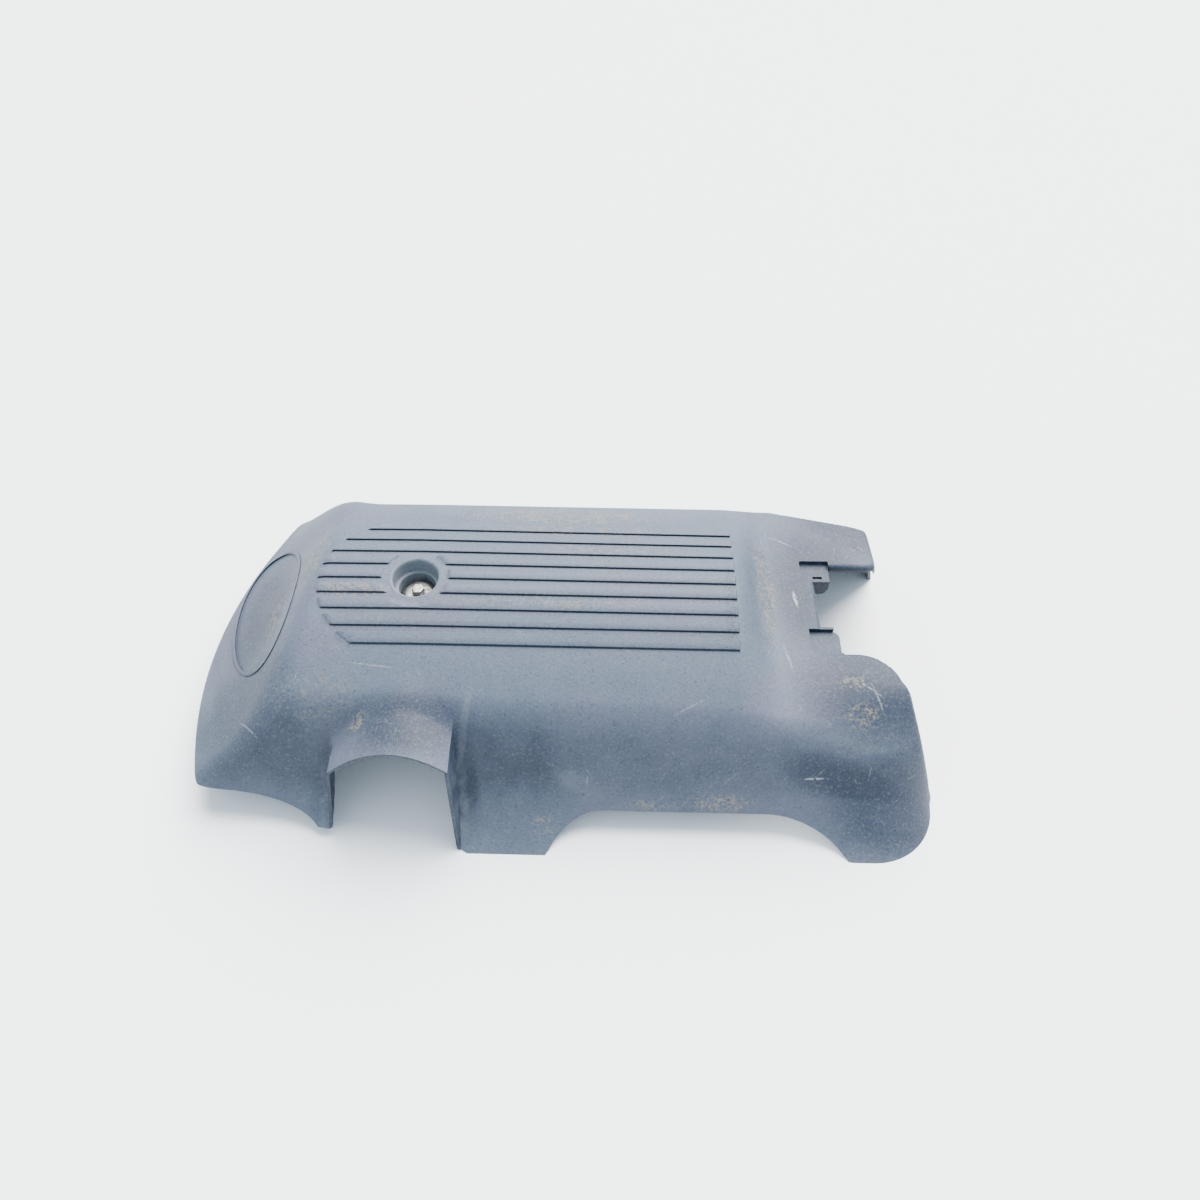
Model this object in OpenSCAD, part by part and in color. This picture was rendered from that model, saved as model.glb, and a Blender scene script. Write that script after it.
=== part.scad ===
// Moulded engine cover with its retaining bolt, washer, rubber grommet and sleeve.
// The front of the engine is towards -X, the bulkhead towards +X, up is +Z.
// The cover is one thin moulding. Its outer skin is a height field, blended from a crown,
// a sloping hood with a short nose wall, two flared side walls, a rear deck behind a step,
// a leaning rear wall and one arched duct. The same rules, moved in by the wall, give the inside.

/* [Crown] */
// Height of the crown over the lowest rim
crown_h = 140; // [125:1:155]
// Radius of the crown across the cover
crown_r = 221; // [190:1:300]
// Fall of the crown towards the rear, as a slope
crown_fall = 0.018; // [0:0.002:0.03]
// Wall thickness of the moulding
wall = 3; // [2.2:0.1:4]

/* [Side walls] */
// Half width of the cover at the foot of its side walls, at the bolt
half_w = 204; // [190:1:215]
// Widening of the near side towards the rear, as a slope
near_flare = 0.0145; // [0:0.001:0.03]
// Slope of the side wall at its foot
foot_slope = 0.45; // [0.35:0.01:0.7]
// Steepening of the side wall above its foot
foot_curve = 0.0093; // [0.008:0.0001:0.011]
// Softness of the far shoulder between crown and side wall
shoulder_soft = 9; // [5:1:16]
// Softness of the rounded near shoulder
near_soft = 44; // [20:1:46]
// Slope of the near side wall above its flare
near_wall_slope = 2.5; // [2:0.1:3]
// Distance from the near foot line to where the steep wall's plane meets the rim
near_wall_from = 33; // [28:1:38]

/* [Hood and nose] */
// Distance of the nose line in front of the bolt
nose_reach = 218; // [205:1:235]
// Plan radius of the nose line
nose_r = 364; // [320:1:450]
// Sideways place of the foremost point of the nose
nose_side = -42; // [-60:1:0]
// Height of the edge where the hood meets the nose wall
hood_h = 34; // [28:1:42]
// Slope of the hood at that edge
hood_slope = 0.476; // [0.4:0.01:0.6]
// Steepening of the hood towards the crown
hood_curve = 0.0034; // [0.002:0.0001:0.0038]
// Softness of the edge between hood and crown
hood_soft = 22; // [10:1:30]
// Slope of the nose wall
nose_slope = 4; // [3:0.5:5]
// Height of the front rim over the feet
front_rim_h = 33; // [20:1:36]
// Length over which the rim climbs from the front foot
front_rim_run = 100; // [70:5:120]

/* [Rear deck] */
// Distance from the bolt to the top of the step
step_from = 286; // [275:1:300]
// Length of the step
step_run = 44; // [36:1:55]
// Height of the deck
deck_h = 102; // [95:1:108]
// Fall of the deck at its outer sides
deck_fall = 16; // [8:1:22]
// Further fall of the deck's near corner for each 100 mm of length
deck_tilt = 28; // [0:1:32]
// Half width of the level middle of the deck
deck_level = 60; // [57:1:66]
// Distance from the bolt to the foot of the rear wall
rear_reach = 466; // [458:1:474]
// Turn of the rear wall in plan, as a slope
rear_skew = 0.05; // [0:0.005:0.06]
// Slope of the rear wall
rear_slope = 3.1; // [2.5:0.1:4]
// Plan radius of the rear corners at the foot
corner_r = 60; // [45:1:66]
// Distance from the bolt to where the far side starts to draw in
far_from = 335; // [320:1:350]
// Drawing in of the far side, as a slope
far_taper = 0.25; // [0.2:0.01:0.4]

/* [Duct and side openings] */
// Place of the duct in front of the bolt
duct_ahead = 13.5; // [10:0.5:18]
// Height of the duct over the rim
duct_h = 105; // [96:1:108]
// Radius of the duct's roof
duct_r = 69; // [62:1:90]
// Half width of the duct at its foot
duct_half = 58.5; // [54:0.5:62]
// Slope of the duct's front side wall
duct_front_slope = 10; // [6:0.5:14]
// Slope of the duct's rear side wall
duct_rear_slope = 26; // [8:0.5:30]
// Rise of the duct's roof from its mouth inwards, as a slope
duct_rise = 0.08; // [0:0.01:0.12]
// radius of the duct's roof where it runs out in the side wall
duct_root_r = 38; // [34:1:60]
// Reach of the duct's mouth at the rim, from the middle of the cover
mouth_reach = 196; // [193:1:199]
// Lean of the mouth, as run over height
mouth_lean = 0.3; // [0.2:0.01:0.35]
// Turn of the mouth in plan, degrees
mouth_turn = 5.9; // [0:0.1:8]
// Distance from the bolt to the front end of the long side openings
long_from = 121; // [110:1:130]
// Length of the long opening on the near side
long_l = 267.5; // [240:0.5:270]
// Length of the long opening on the far side
far_long_l = 200; // [150:1:215]
// Height of the long side openings
long_h = 24.5; // [15:0.5:30]

/* [Raised bars] */
// Number of raised bars on the crown
bar_n = 9; // [5:2:9]
// Distance between two bars
bar_pitch = 16.25; // [15:0.05:17]
// Width of a bar
bar_w = 10.2; // [7:0.1:12]
// Height of a bar over the crown
bar_h = 2; // [1:0.1:3]
// Distance from the bolt to the rear ends of the bars
bar_end = 289; // [270:1:290]
// Radius of the arc on which the front ends of the bars lie
bar_arc_r = 77; // [70:1:80]
// Radius of the clear ring round the bolt well
clear_r = 29.5; // [26:0.5:34]

/* [Badge place] */
// Length of the plain oval on the hood
oval_l = 166; // [120:1:172]
// Width of the plain oval in plan
oval_w = 68; // [40:1:72]
// Depth of the oval's floor below the hood
oval_depth = 1.6; // [0.8:0.1:2]
// Width of the raised edge round the oval
oval_edge = 2.4; // [1.5:0.1:4]
// Height of the raised edge over the hood
oval_edge_h = 0.9; // [0.5:0.1:1.5]

/* [Bolt well] */
// Radius of the well at the crown
well_r = 20.5; // [19:0.5:23]
// Radius of the well below its ledge
well_low_r = 17; // [16:0.5:18]
// Depth of the ledge
ledge_depth = 15; // [12:0.5:18]
// Depth of the well's floor
floor_depth = 28; // [27:0.5:31]
// Thickness of the well's floor
floor_t = 3.5; // [3:0.5:5]
// Radius of the hole in the floor
floor_hole_r = 9; // [8.5:0.1:9.5]

/* [Fasteners] */
// Width across flats of the bolt head
bolt_af = 10; // [9:0.5:11]
// Height of the bolt head
bolt_head_h = 6; // [5:0.2:7]
// Radius of the bolt's thread
bolt_r = 3; // [2.5:0.1:3.4]
// Length of the bolt below its head
bolt_l = 50; // [40:1:60]
// Length of the bolt's thread
thread_l = 18; // [14:1:24]
// Step from the thread's crests down to the plain shank
shank_step = 0.35; // [0.2:0.05:0.4]
// Radius of the washer
washer_r = 12.35; // [11:0.05:13.5]
// Thickness of the washer
washer_t = 1.6; // [1.2:0.1:2.4]
// Wall of the compression sleeve
sleeve_wall = 2; // [1.5:0.1:2.4]
// Radius of the grommet's upper flange
grommet_r = 15.5; // [14:0.1:15.7]
// Thickness of each flange of the grommet
grommet_lip = 4; // [3:0.1:5]
// Clearance between round pieces that fit in one another
fit_gap = 0.3; // [0.2:0.05:0.35]

/* [Rear notch] */
// Distance from the bolt to the bottom of the notch
notch_from = 369; // [364:1:372]
// Edge of the far lobe, from the middle of the cover
far_lobe = 45; // [42:1:48]
// Edge of the near lobe, from the middle of the cover
near_lobe = 55; // [52:1:58]
// Plan radius of the near lobe's corner
near_lobe_r = 38; // [25:1:42]
// Plan radius of the far lobe's corner
far_lobe_r = 14; // [8:1:18]
// Length of the lobes behind the bottom of the notch
lobe_l = 66; // [60:1:70]
// Depth of the lip along the lobes
lip_h = 8; // [5:0.5:10]
// Depth of the two tabs below the deck
tab_depth = 4.5; // [3.5:0.5:6]
// Length of the tabs
tab_l = 28; // [22:1:30]
// Length of the tabs behind the bottom of the notch
tab_out = 16; // [12:1:18]
// Width of the far tab
far_tab_w = 22; // [20:1:24]
// Width of the near tab
near_tab_w = 26; // [22:1:28]
// Plan radius of the near tab's corner
tab_r = 7; // [3:1:9]
// Length of the guide ear below the far tab
ear_l = 16; // [12:0.5:17]
// Depth of the guide ear below the tab
ear_h = 19; // [14:0.5:24]
// Thickness of the guide ear
ear_t = 2.5; // [2:0.1:3]
// Length of the slot beside the guide ear
slot_l = 9; // [6:0.5:10]
// Width of the slot beside the guide ear
slot_w = 3; // [2:0.5:4]

/* [Hidden] */

// The bolt's axis is the middle of this drawing, lengthwise. Across, it is the crown's top line.
bolt_y = -3.5;
crown_flat_from = 0;
well_top = crown_h;
ledge_z = well_top - ledge_depth;
floor_z = well_top - floor_depth;
sleeve_r = bolt_r + fit_gap + sleeve_wall;
grommet_bore_r = sleeve_r + fit_gap;
seat_z = floor_z + grommet_lip;
sleeve_foot_z = floor_z - floor_t - grommet_lip;
head_z = seat_z + washer_t;

// The origin is the middle of the cover's box, so the drawing is shifted by these.
nose_tip = -nose_reach + front_rim_h / nose_slope;
near_widest = half_w + near_flare * (rear_reach - corner_r);
rear_tip = rear_reach + rear_skew * (near_widest - corner_r);
shift_x = -(nose_tip + rear_tip) / 2;
shift_y = (near_widest - half_w) / 2;

// Ends of the bars, the long openings and the duct
bar_arc_x = -11;
bar_arc_y = -4;
oval_x = -154;
oval_y = 10;
oval_turn = 4;
far_tab_edge = far_lobe + 7 - far_tab_w;
tab_z = deck_h - tab_depth;
long_front_curve = 50;
long_rear_curve = 75;
duct_x = -duct_ahead;
duct_soft = 8;
duct_roof_shift = 12;
duct_root_soft = 13;
duct_lip_y = mouth_reach - mouth_lean * duct_h;
tilt_from = 85;
tilt_run = 75;
duct_root_from = 6;
duct_root_run = 48;
near_wall_soft = 14;
near_soft_rear = 16;
below = 30;
above = crown_h + below;
reach = rear_reach + corner_r;
eps = 0.02;

// Blends

function soft_min(a, b, k) = let (h = max(0, min(1, 0.5 + 0.5 * (b - a) / k)))
    b * (1 - h) + a * h - k * h * (1 - h);
function soft_max(a, b, k) = -soft_min(-a, -b, k);
function ease(t) = let (u = max(0, min(1, t))) u * u * (3 - 2 * u);

// Parts of the skin, each moved in by the thickness t

function crown_z(x, y) = crown_h - y * y / (2 * crown_r) - crown_fall * max(0, x - crown_flat_from);

function deck_z(x, y) = let (q = max(0, abs(y) - deck_level) / 100, run = max(0, x - step_from - step_run))
    deck_h - deck_fall * q * q - (y < 0 ? deck_tilt * run / 100 * ease((abs(y) - tilt_from) / tilt_run) : 0);

function top_z(x, y, t) = let (
    s = ease((x + 0.7 * t - step_from) / step_run),
    c = crown_z(x, y)
) c * (1 - s) + min(deck_z(x, y), c) * s - t;

function near_reach(x) = half_w + near_flare * x;

function foot_y(x, y) = let (
    c = max(0, min(corner_r, x - (rear_reach + 4 - corner_r))),
    corner = corner_r - sqrt(corner_r * corner_r - c * c),
    side = y < 0 ? near_reach(x) : half_w - far_taper * max(0, x - far_from)
) side - corner;

function side_z(x, y, t) = let (
    d = foot_y(x, y) - abs(y) - t,
    flare = foot_slope * d + (d > 0 ? foot_curve * d * d : 0)
) (y < 0 ? soft_max(flare, near_wall_slope * (d - near_wall_from), near_wall_soft) : flare) - 0.45 * t;

function nose_z(x, y, t) = let (d = x + nose_reach - pow(y - nose_side, 2) / (2 * nose_r) - t)
    soft_min(hood_h + hood_slope * d + hood_curve * d * abs(d), nose_slope * d, 8) - 0.6 * t;

function rear_z(x, y, t) = rear_slope * (rear_reach - rear_skew * y - x - t) - 0.4 * t;

// The duct is crisp and full at its mouth, and grows out of the crown narrower and softer
function duct_z(x, y, t) = let (
    u = abs(x - duct_x),
    v = x - duct_x - duct_roof_shift,
    in = y + duct_lip_y,
    r = duct_r - (duct_r - duct_root_r) * ease((in - duct_root_from) / duct_root_run),
    slope = x < duct_x ? duct_front_slope : duct_rear_slope
) y > -deck_level ? -reach : soft_min(duct_h + duct_rise * in - t - v * v / (2 * r),
                                      slope * (duct_half - t - u), duct_soft);

// The near shoulder is rounder than the far one, and tighter again towards the rear
function shoulder_k(x, y) = let (near = near_soft - near_soft_rear * ease((x - step_from - step_run) / 100))
    y < 0 ? shoulder_soft + (near - shoulder_soft) * ease(-y / 60) : shoulder_soft;

function skin_z(x, y, t = 0) = let (
    a = soft_min(top_z(x, y, t), side_z(x, y, t), shoulder_k(x, y)),
    b = soft_min(a, nose_z(x, y, t), hood_soft),
    c = soft_min(b, rear_z(x, y, t), 10)
) soft_max(c, duct_z(x, y, t), duct_root_soft);

// Stations of the height field, closer where the skin bends

function spread(a, b, n) = [for (i = [0 : n - 1]) a + (b - a) * i / n];

// The outer skin takes f = 1, the inside and the lips a coarser f, but not round the duct
function x_stations(f) = concat(
    spread(-nose_reach - 6, -nose_reach + 20, round(6 * f)),
    spread(-nose_reach + 20, duct_x - duct_half - 16, round(10 * f)),
    spread(duct_x - duct_half - 16, duct_x - duct_half + 16, 9),
    spread(duct_x - duct_half + 16, duct_x + duct_half - 14, 7),
    spread(duct_x + duct_half - 14, duct_x + duct_half + 16, 9),
    spread(duct_x + duct_half + 16, step_from - 4, round(4 * f)),
    spread(step_from - 4, step_from + step_run + 4, round(8 * f)),
    spread(step_from + step_run + 4, rear_reach - 48, round(3 * f)),
    spread(rear_reach - 48, rear_reach + 14, round(9 * f)),
    [rear_reach + 14]);

function y_stations(f) = concat(
    spread(-half_w - 12, -half_w + 26, round(7 * f)),
    spread(-half_w + 26, -half_w + 74, 6),
    spread(-half_w + 74, -half_w + 106, 5),
    spread(-half_w + 106, half_w - 106, round(8 * f)),
    spread(half_w - 106, half_w - 74, round(5 * f)),
    spread(half_w - 74, half_w - 26, round(3 * f)),
    spread(half_w - 26, half_w + 10, round(5 * f)),
    [half_w + 10]);

// A closed block between a level floor and a surface given by its stations and heights
module height_block(xs, ys, zs, floor_z) {
    nx = len(xs);
    ny = len(ys);
    top = [for (i = [0 : nx - 1], j = [0 : ny - 1]) [xs[i], ys[j], max(zs[i][j], floor_z + 1)]];
    rim = concat(
        [for (i = [0 : nx - 2]) [i, 0]],
        [for (j = [0 : ny - 2]) [nx - 1, j]],
        [for (i = [nx - 1 : -1 : 1]) [i, ny - 1]],
        [for (j = [ny - 1 : -1 : 1]) [0, j]]);
    nr = len(rim);
    base = [for (r = rim) [xs[r[0]], ys[r[1]], floor_z]];
    first = nx * ny;
    cells = [for (i = [0 : nx - 2], j = [0 : ny - 2]) each [
        [i * ny + j, i * ny + j + 1, (i + 1) * ny + j + 1],
        [i * ny + j, (i + 1) * ny + j + 1, (i + 1) * ny + j]]];
    sides = [for (k = [0 : nr - 1]) let (
        n = (k + 1) % nr,
        a = rim[k][0] * ny + rim[k][1],
        b = rim[n][0] * ny + rim[n][1]
    ) each [[a, b, first + n], [a, first + n, first + k]]];
    polyhedron(points = concat(top, base),
               faces = concat(cells, sides, [[for (k = [0 : nr - 1]) first + k]]));
}

module skin_block(t, drop = 0, f = 1) {
    xs = x_stations(f);
    ys = y_stations(f);
    height_block(xs, ys, [for (x = xs) [for (y = ys) skin_z(x, y, t) - drop]], -below - 10 * t);
}

// A band that follows the skin, between two distances above or below it
module skin_band(xs, ys, low, high) {
    difference() {
        height_block(xs, ys, [for (x = xs) [for (y = ys) skin_z(x, y) + high]], -below);
        translate([0, 0, -eps])
            height_block(xs, ys, [for (x = xs) [for (y = ys) skin_z(x, y) + low]], -below - 1);
    }
}

function bar_band_x() = let (a = bar_arc_x - bar_arc_r - 4)
    concat(spread(a, a + 50, 7), spread(a + 50, bar_end + 4, 4), [bar_end + 4]);

function bar_band_y() = let (b = bar_pitch * bar_n / 2 + 2) concat(spread(-b, b, 12), [b]);

function oval_band_x() = concat(spread(oval_x - 40, oval_x + 44, 13), [oval_x + 44]);

function oval_band_y() = concat(spread(oval_y - 90, oval_y + 90, 15), [oval_y + 90]);

// Plan outlines

function arc_x(y) = bar_arc_x - sqrt(max(0, pow(bar_arc_r, 2) - pow(y - bar_arc_y, 2)));

module bar_prisms() {
    difference() {
        for (i = [0 : bar_n - 1]) {
            y = bar_pitch * (i - (bar_n - 1) / 2);
            hull()
                for (v = [y - bar_w / 2, y, y + bar_w / 2 - eps])
                    translate([arc_x(v), v, 60]) cube([bar_end - arc_x(v), eps, 120]);
        }
        translate([0, bolt_y, 0]) cylinder(r = clear_r, h = above, $fn = 48);
    }
}

module oval(l, w) {
    translate([oval_x, oval_y]) rotate(oval_turn) scale([w / l, 1]) circle(d = l, $fn = 64);
}

module lobe(edge, r, side, wall_from) {
    x1 = notch_from + lobe_l;
    offset(r = r) offset(delta = -r)
        polygon([[notch_from - 90, side * edge], [x1, side * edge], [x1 + 2, side * (edge + 34)],
                 [rear_reach + 60, side * (edge + wall_from)], [rear_reach + 60, side * 260],
                 [notch_from - 90, side * 260]]);
}

module far_tab_outline() {
    translate([notch_from + tab_out - tab_l, far_tab_edge]) square([tab_l, far_tab_w]);
}

module near_tab_outline() {
    translate([notch_from + tab_out - tab_l, -near_lobe])
        intersection() {
            square([tab_l, near_tab_w]);
            translate([-tab_r, 0]) offset(r = tab_r) offset(delta = -tab_r)
                translate([0, -tab_r]) square([tab_l + tab_r, near_tab_w + tab_r]);
        }
}

module notch_outline() {
    difference() {
        translate([notch_from, -near_lobe - 110])
            square([rear_reach - notch_from + 60, near_lobe + far_lobe + 220]);
        lobe(far_lobe, far_lobe_r, 1, 180, $fn = 40);
        lobe(near_lobe, near_lobe_r, -1, 50, $fn = 56);
        far_tab_outline();
        near_tab_outline($fn = 32);
    }
}

module long_outline(l) {
    n = 10;
    front = [for (i = [0 : n]) let (u = i / n) [u * long_front_curve, long_h * (1 - pow(1 - u, 2))]];
    rear = [for (i = [n : -1 : 0]) let (u = i / n)
        [l - u * long_rear_curve, long_h * (1 - pow(1 - u, 2))]];
    polygon(concat([[0, -10]], front, rear, [[l, -10]]));
}

// Cuts

module long_cut(l, side) {
    translate([long_from, side > 0 ? half_w + 30 : -half_w + 90, 0])
        rotate([90, 0, 0])
            linear_extrude(height = 120) long_outline(l);
}

module mouth_cut() {
    translate([duct_x, -mouth_reach, 0])
        rotate([0, 0, -mouth_turn])
            rotate([-atan(mouth_lean), 0, 0])
                translate([-duct_half - 26, -100, -60])
                    cube([2 * duct_half + 36, 100, 260]);
}

module front_cut() {
    foot_x = duct_x - duct_half - 5;
    translate([foot_x - front_rim_run, 0, 0])
        rotate([90, 0, 0])
            linear_extrude(height = 2 * reach, center = true) {
                scale([front_rim_run, front_rim_h]) circle(r = 1, $fn = 64);
                translate([-reach, -front_rim_h]) square([reach, 2 * front_rim_h]);
            }
}

module well_cut() {
    translate([0, bolt_y, 0]) {
        translate([0, 0, ledge_z]) cylinder(r = well_r, h = 60, $fn = 64);
        translate([0, 0, floor_z]) cylinder(r = well_low_r, h = 60, $fn = 64);
        translate([0, 0, floor_z - floor_t - 1]) cylinder(r = floor_hole_r, h = 20, $fn = 48);
        translate([0, 0, well_top - 2]) cylinder(r1 = well_r, r2 = well_r + 4, h = 4, $fn = 64);
    }
}

// Sub-parts

module boss() {
    intersection() {
        skin_block(0.5);
        translate([0, bolt_y, floor_z - floor_t])
            cylinder(r = well_r + wall, h = floor_depth + floor_t, $fn = 64);
    }
    intersection() {
        skin_block(0.5);
        translate([0, bolt_y, 0])
            for (a = [45 : 90 : 315])
                rotate([0, 0, a])
                    rotate([90, 0, 0])
                        linear_extrude(height = 2, center = true)
                            polygon([[well_r + 1, floor_z - floor_t], [well_r + wall + 2, floor_z - floor_t],
                                     [well_r + 36, well_top], [well_r + 1, well_top]]);
    }
}

module ear() {
    r = ear_l / 2;
    translate([notch_from + tab_out - ear_l, far_tab_edge + ear_t, tab_z - eps])
        rotate([90, 0, 0])
            linear_extrude(height = ear_t) {
                translate([0, r - ear_h]) square([ear_l, ear_h - r]);
                translate([r, r - ear_h]) circle(r = r, $fn = 36);
            }
}

module tabs() {
    translate([0, 0, tab_z - wall])
        linear_extrude(height = wall)
            intersection() {
                offset(delta = wall) {
                    far_tab_outline();
                    near_tab_outline($fn = 32);
                }
                difference() {
                    square(2 * reach, center = true);
                    notch_outline();
                }
            }
    intersection() {
        skin_block(0.4);
        translate([0, 0, tab_z - wall])
            linear_extrude(height = 40)
                intersection() {
                    difference() {
                        offset(delta = wall) {
                            far_tab_outline();
                            near_tab_outline($fn = 32);
                        }
                        far_tab_outline();
                        near_tab_outline($fn = 32);
                        translate([notch_from, 1 - near_lobe])
                            square([tab_out + 2 * wall, near_lobe + far_lobe + 5]);
                    }
                    difference() {
                        square(2 * reach, center = true);
                        notch_outline();
                    }
                }
    }
}

module near_guard() {
    translate([notch_from - 2, near_tab_w - near_lobe, tab_z - wall])
        cube([tab_out - 3, ear_t, tab_depth + wall - 0.6]);
}

module tab_cuts() {
    translate([0, 0, tab_z])
        linear_extrude(height = 40) {
            far_tab_outline();
            near_tab_outline($fn = 32);
            translate([notch_from + 2, -near_lobe]) square([tab_out + 10, near_tab_w]);
        }
    translate([notch_from + tab_out - ear_l, far_tab_edge + ear_t + 0.8, tab_z - wall - 1])
        cube([slot_l, slot_w, 20]);
}

module lip() {
    intersection() {
        difference() {
            skin_block(0);
            skin_block(0, drop = lip_h);
        }
        linear_extrude(height = above)
            difference() {
                offset(delta = wall) notch_outline();
                notch_outline();
            }
        translate([notch_from + tab_out - 2, -near_lobe - 60, 0])
            cube([120, near_lobe + far_lobe + 100, above]);
    }
}

module cover() {
    color([0.42, 0.45, 0.51])
        translate([shift_x, shift_y, 0])
            difference() {
                union() {
                    difference() {
                        intersection() {
                            skin_block(0);
                            translate([-reach, -reach, 0]) cube([3 * reach, 2 * reach, above]);
                        }
                        skin_block(wall, f = 0.75);
                        linear_extrude(height = above) notch_outline();
                        long_cut(long_l, -1);
                        long_cut(far_long_l, 1);
                        front_cut();
                    }
                    boss();
                    lip();
                    tabs();
                    ear();
                    near_guard();
                    intersection() {
                        skin_band(bar_band_x(), bar_band_y(), -1, bar_h);
                        bar_prisms();
                    }
                    intersection() {
                        skin_band(oval_band_x(), oval_band_y(), -wall / 2, oval_edge_h);
                        linear_extrude(height = above) oval(oval_l, oval_w);
                    }
                }
                intersection() {
                    skin_band(oval_band_x(), oval_band_y(), -oval_depth, 20);
                    linear_extrude(height = above) oval(oval_l - 2 * oval_edge, oval_w - 2 * oval_edge);
                }
                mouth_cut();
                well_cut();
                tab_cuts();
            }
}

module retaining_bolt() {
    color([0.70, 0.71, 0.70])
        translate([shift_x, shift_y + bolt_y, 0]) {
            translate([0, 0, head_z])
                intersection() {
                    cylinder(r = bolt_af / 2 / cos(30), h = bolt_head_h, $fn = 6);
                    cylinder(r1 = bolt_af, r2 = bolt_af / 2 - 0.3, h = bolt_head_h + 0.6, $fn = 48);
                }
            translate([0, 0, head_z - bolt_l]) {
                cylinder(r = bolt_r, h = thread_l, $fn = 48);
                cylinder(r = bolt_r - shank_step, h = bolt_l, $fn = 48);
            }
        }
}

module washer() {
    color([0.80, 0.81, 0.80])
        translate([shift_x, shift_y + bolt_y, seat_z])
            difference() {
                cylinder(r = washer_r, h = washer_t, $fn = 64);
                translate([0, 0, -1]) cylinder(r = bolt_r + fit_gap, h = washer_t + 2, $fn = 48);
            }
}

module grommet() {
    color([0.16, 0.17, 0.18])
        translate([shift_x, shift_y + bolt_y, 0])
            rotate_extrude($fn = 64)
                polygon([[grommet_bore_r, sleeve_foot_z], [grommet_r - 2, sleeve_foot_z],
                         [grommet_r - 2, floor_z - floor_t], [floor_hole_r - fit_gap, floor_z - floor_t],
                         [floor_hole_r - fit_gap, floor_z], [grommet_r, floor_z],
                         [grommet_r, seat_z - 1], [grommet_r - 1, seat_z], [grommet_bore_r, seat_z]]);
}

module sleeve() {
    color([0.62, 0.63, 0.62])
        translate([shift_x, shift_y + bolt_y, sleeve_foot_z])
            difference() {
                cylinder(r = sleeve_r, h = seat_z - sleeve_foot_z, $fn = 48);
                translate([0, 0, -1])
                    cylinder(r = bolt_r + fit_gap, h = seat_z - sleeve_foot_z + 2, $fn = 48);
            }
}

cover();
retaining_bolt();
washer();
grommet();
sleeve();
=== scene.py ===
"""Blender scene for the moulded engine cover: grained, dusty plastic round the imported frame.

Sizes are in millimetres, measured from the retaining bolt lengthwise and from the top line of the
crown across, as the moulding's maker would draw it. Meshes are written in metres in the row frame.
"""
import logging
from dataclasses import dataclass, field
from enum import Enum
from math import cos, pi, radians, sin, sqrt, tan
from typing import Any, Iterable, Sequence

import bpy
import numpy as np
from mathutils import Matrix, Vector


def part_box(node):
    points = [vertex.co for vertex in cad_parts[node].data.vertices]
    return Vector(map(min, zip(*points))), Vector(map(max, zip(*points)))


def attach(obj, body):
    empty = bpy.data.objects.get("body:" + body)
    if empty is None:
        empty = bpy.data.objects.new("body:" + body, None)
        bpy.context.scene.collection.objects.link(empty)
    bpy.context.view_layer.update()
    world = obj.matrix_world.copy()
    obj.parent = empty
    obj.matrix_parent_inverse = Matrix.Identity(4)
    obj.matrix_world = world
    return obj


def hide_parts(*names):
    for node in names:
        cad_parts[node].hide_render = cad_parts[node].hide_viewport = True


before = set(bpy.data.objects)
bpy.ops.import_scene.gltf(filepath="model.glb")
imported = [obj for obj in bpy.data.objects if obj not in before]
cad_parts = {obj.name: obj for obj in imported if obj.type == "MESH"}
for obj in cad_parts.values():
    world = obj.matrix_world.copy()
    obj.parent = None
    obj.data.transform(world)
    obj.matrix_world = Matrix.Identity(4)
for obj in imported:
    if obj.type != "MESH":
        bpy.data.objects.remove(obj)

LOG = logging.getLogger("engine_cover")
MM = 0.001
BOLT_Y = -3.5
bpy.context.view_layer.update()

Colour = tuple[float, float, float, float]
Point = tuple[float, float, float]
Run = tuple[float, float, float]
Grain = tuple[float, float, float]
Couple = tuple[float, float]


def soft_min(a: np.ndarray, b: np.ndarray, blend: float | np.ndarray) -> np.ndarray:
    """Return the lower of two heights, rounded over the blend."""
    h = np.clip(0.5 + 0.5 * (b - a) / blend, 0.0, 1.0)
    return b * (1 - h) + a * h - blend * h * (1 - h)


def ease(t: np.ndarray) -> np.ndarray:
    """Return a soft step from 0 to 1."""
    u = np.clip(t, 0.0, 1.0)
    return u * u * (3 - 2 * u)


@dataclass(frozen=True)
class Datum:
    """Where the drawing's origin lies in the row frame, in metres."""

    x: float
    y: float

    @classmethod
    def from_bolt(cls, node: str) -> "Datum":
        """Read the datum from the bolt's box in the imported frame.

        Args:
            node: name of the bolt's node.

        Returns:
            The datum that puts the bolt where the frame has it.
        """
        low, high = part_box(node)
        return cls((low[0] + high[0]) / 2, (low[1] + high[1]) / 2 - BOLT_Y * MM)

    def place(self, points: np.ndarray) -> np.ndarray:
        """Turn drawing points in mm into row points in metres."""
        return np.asarray(points, float) * MM + np.array([self.x, self.y, 0.0])


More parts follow.
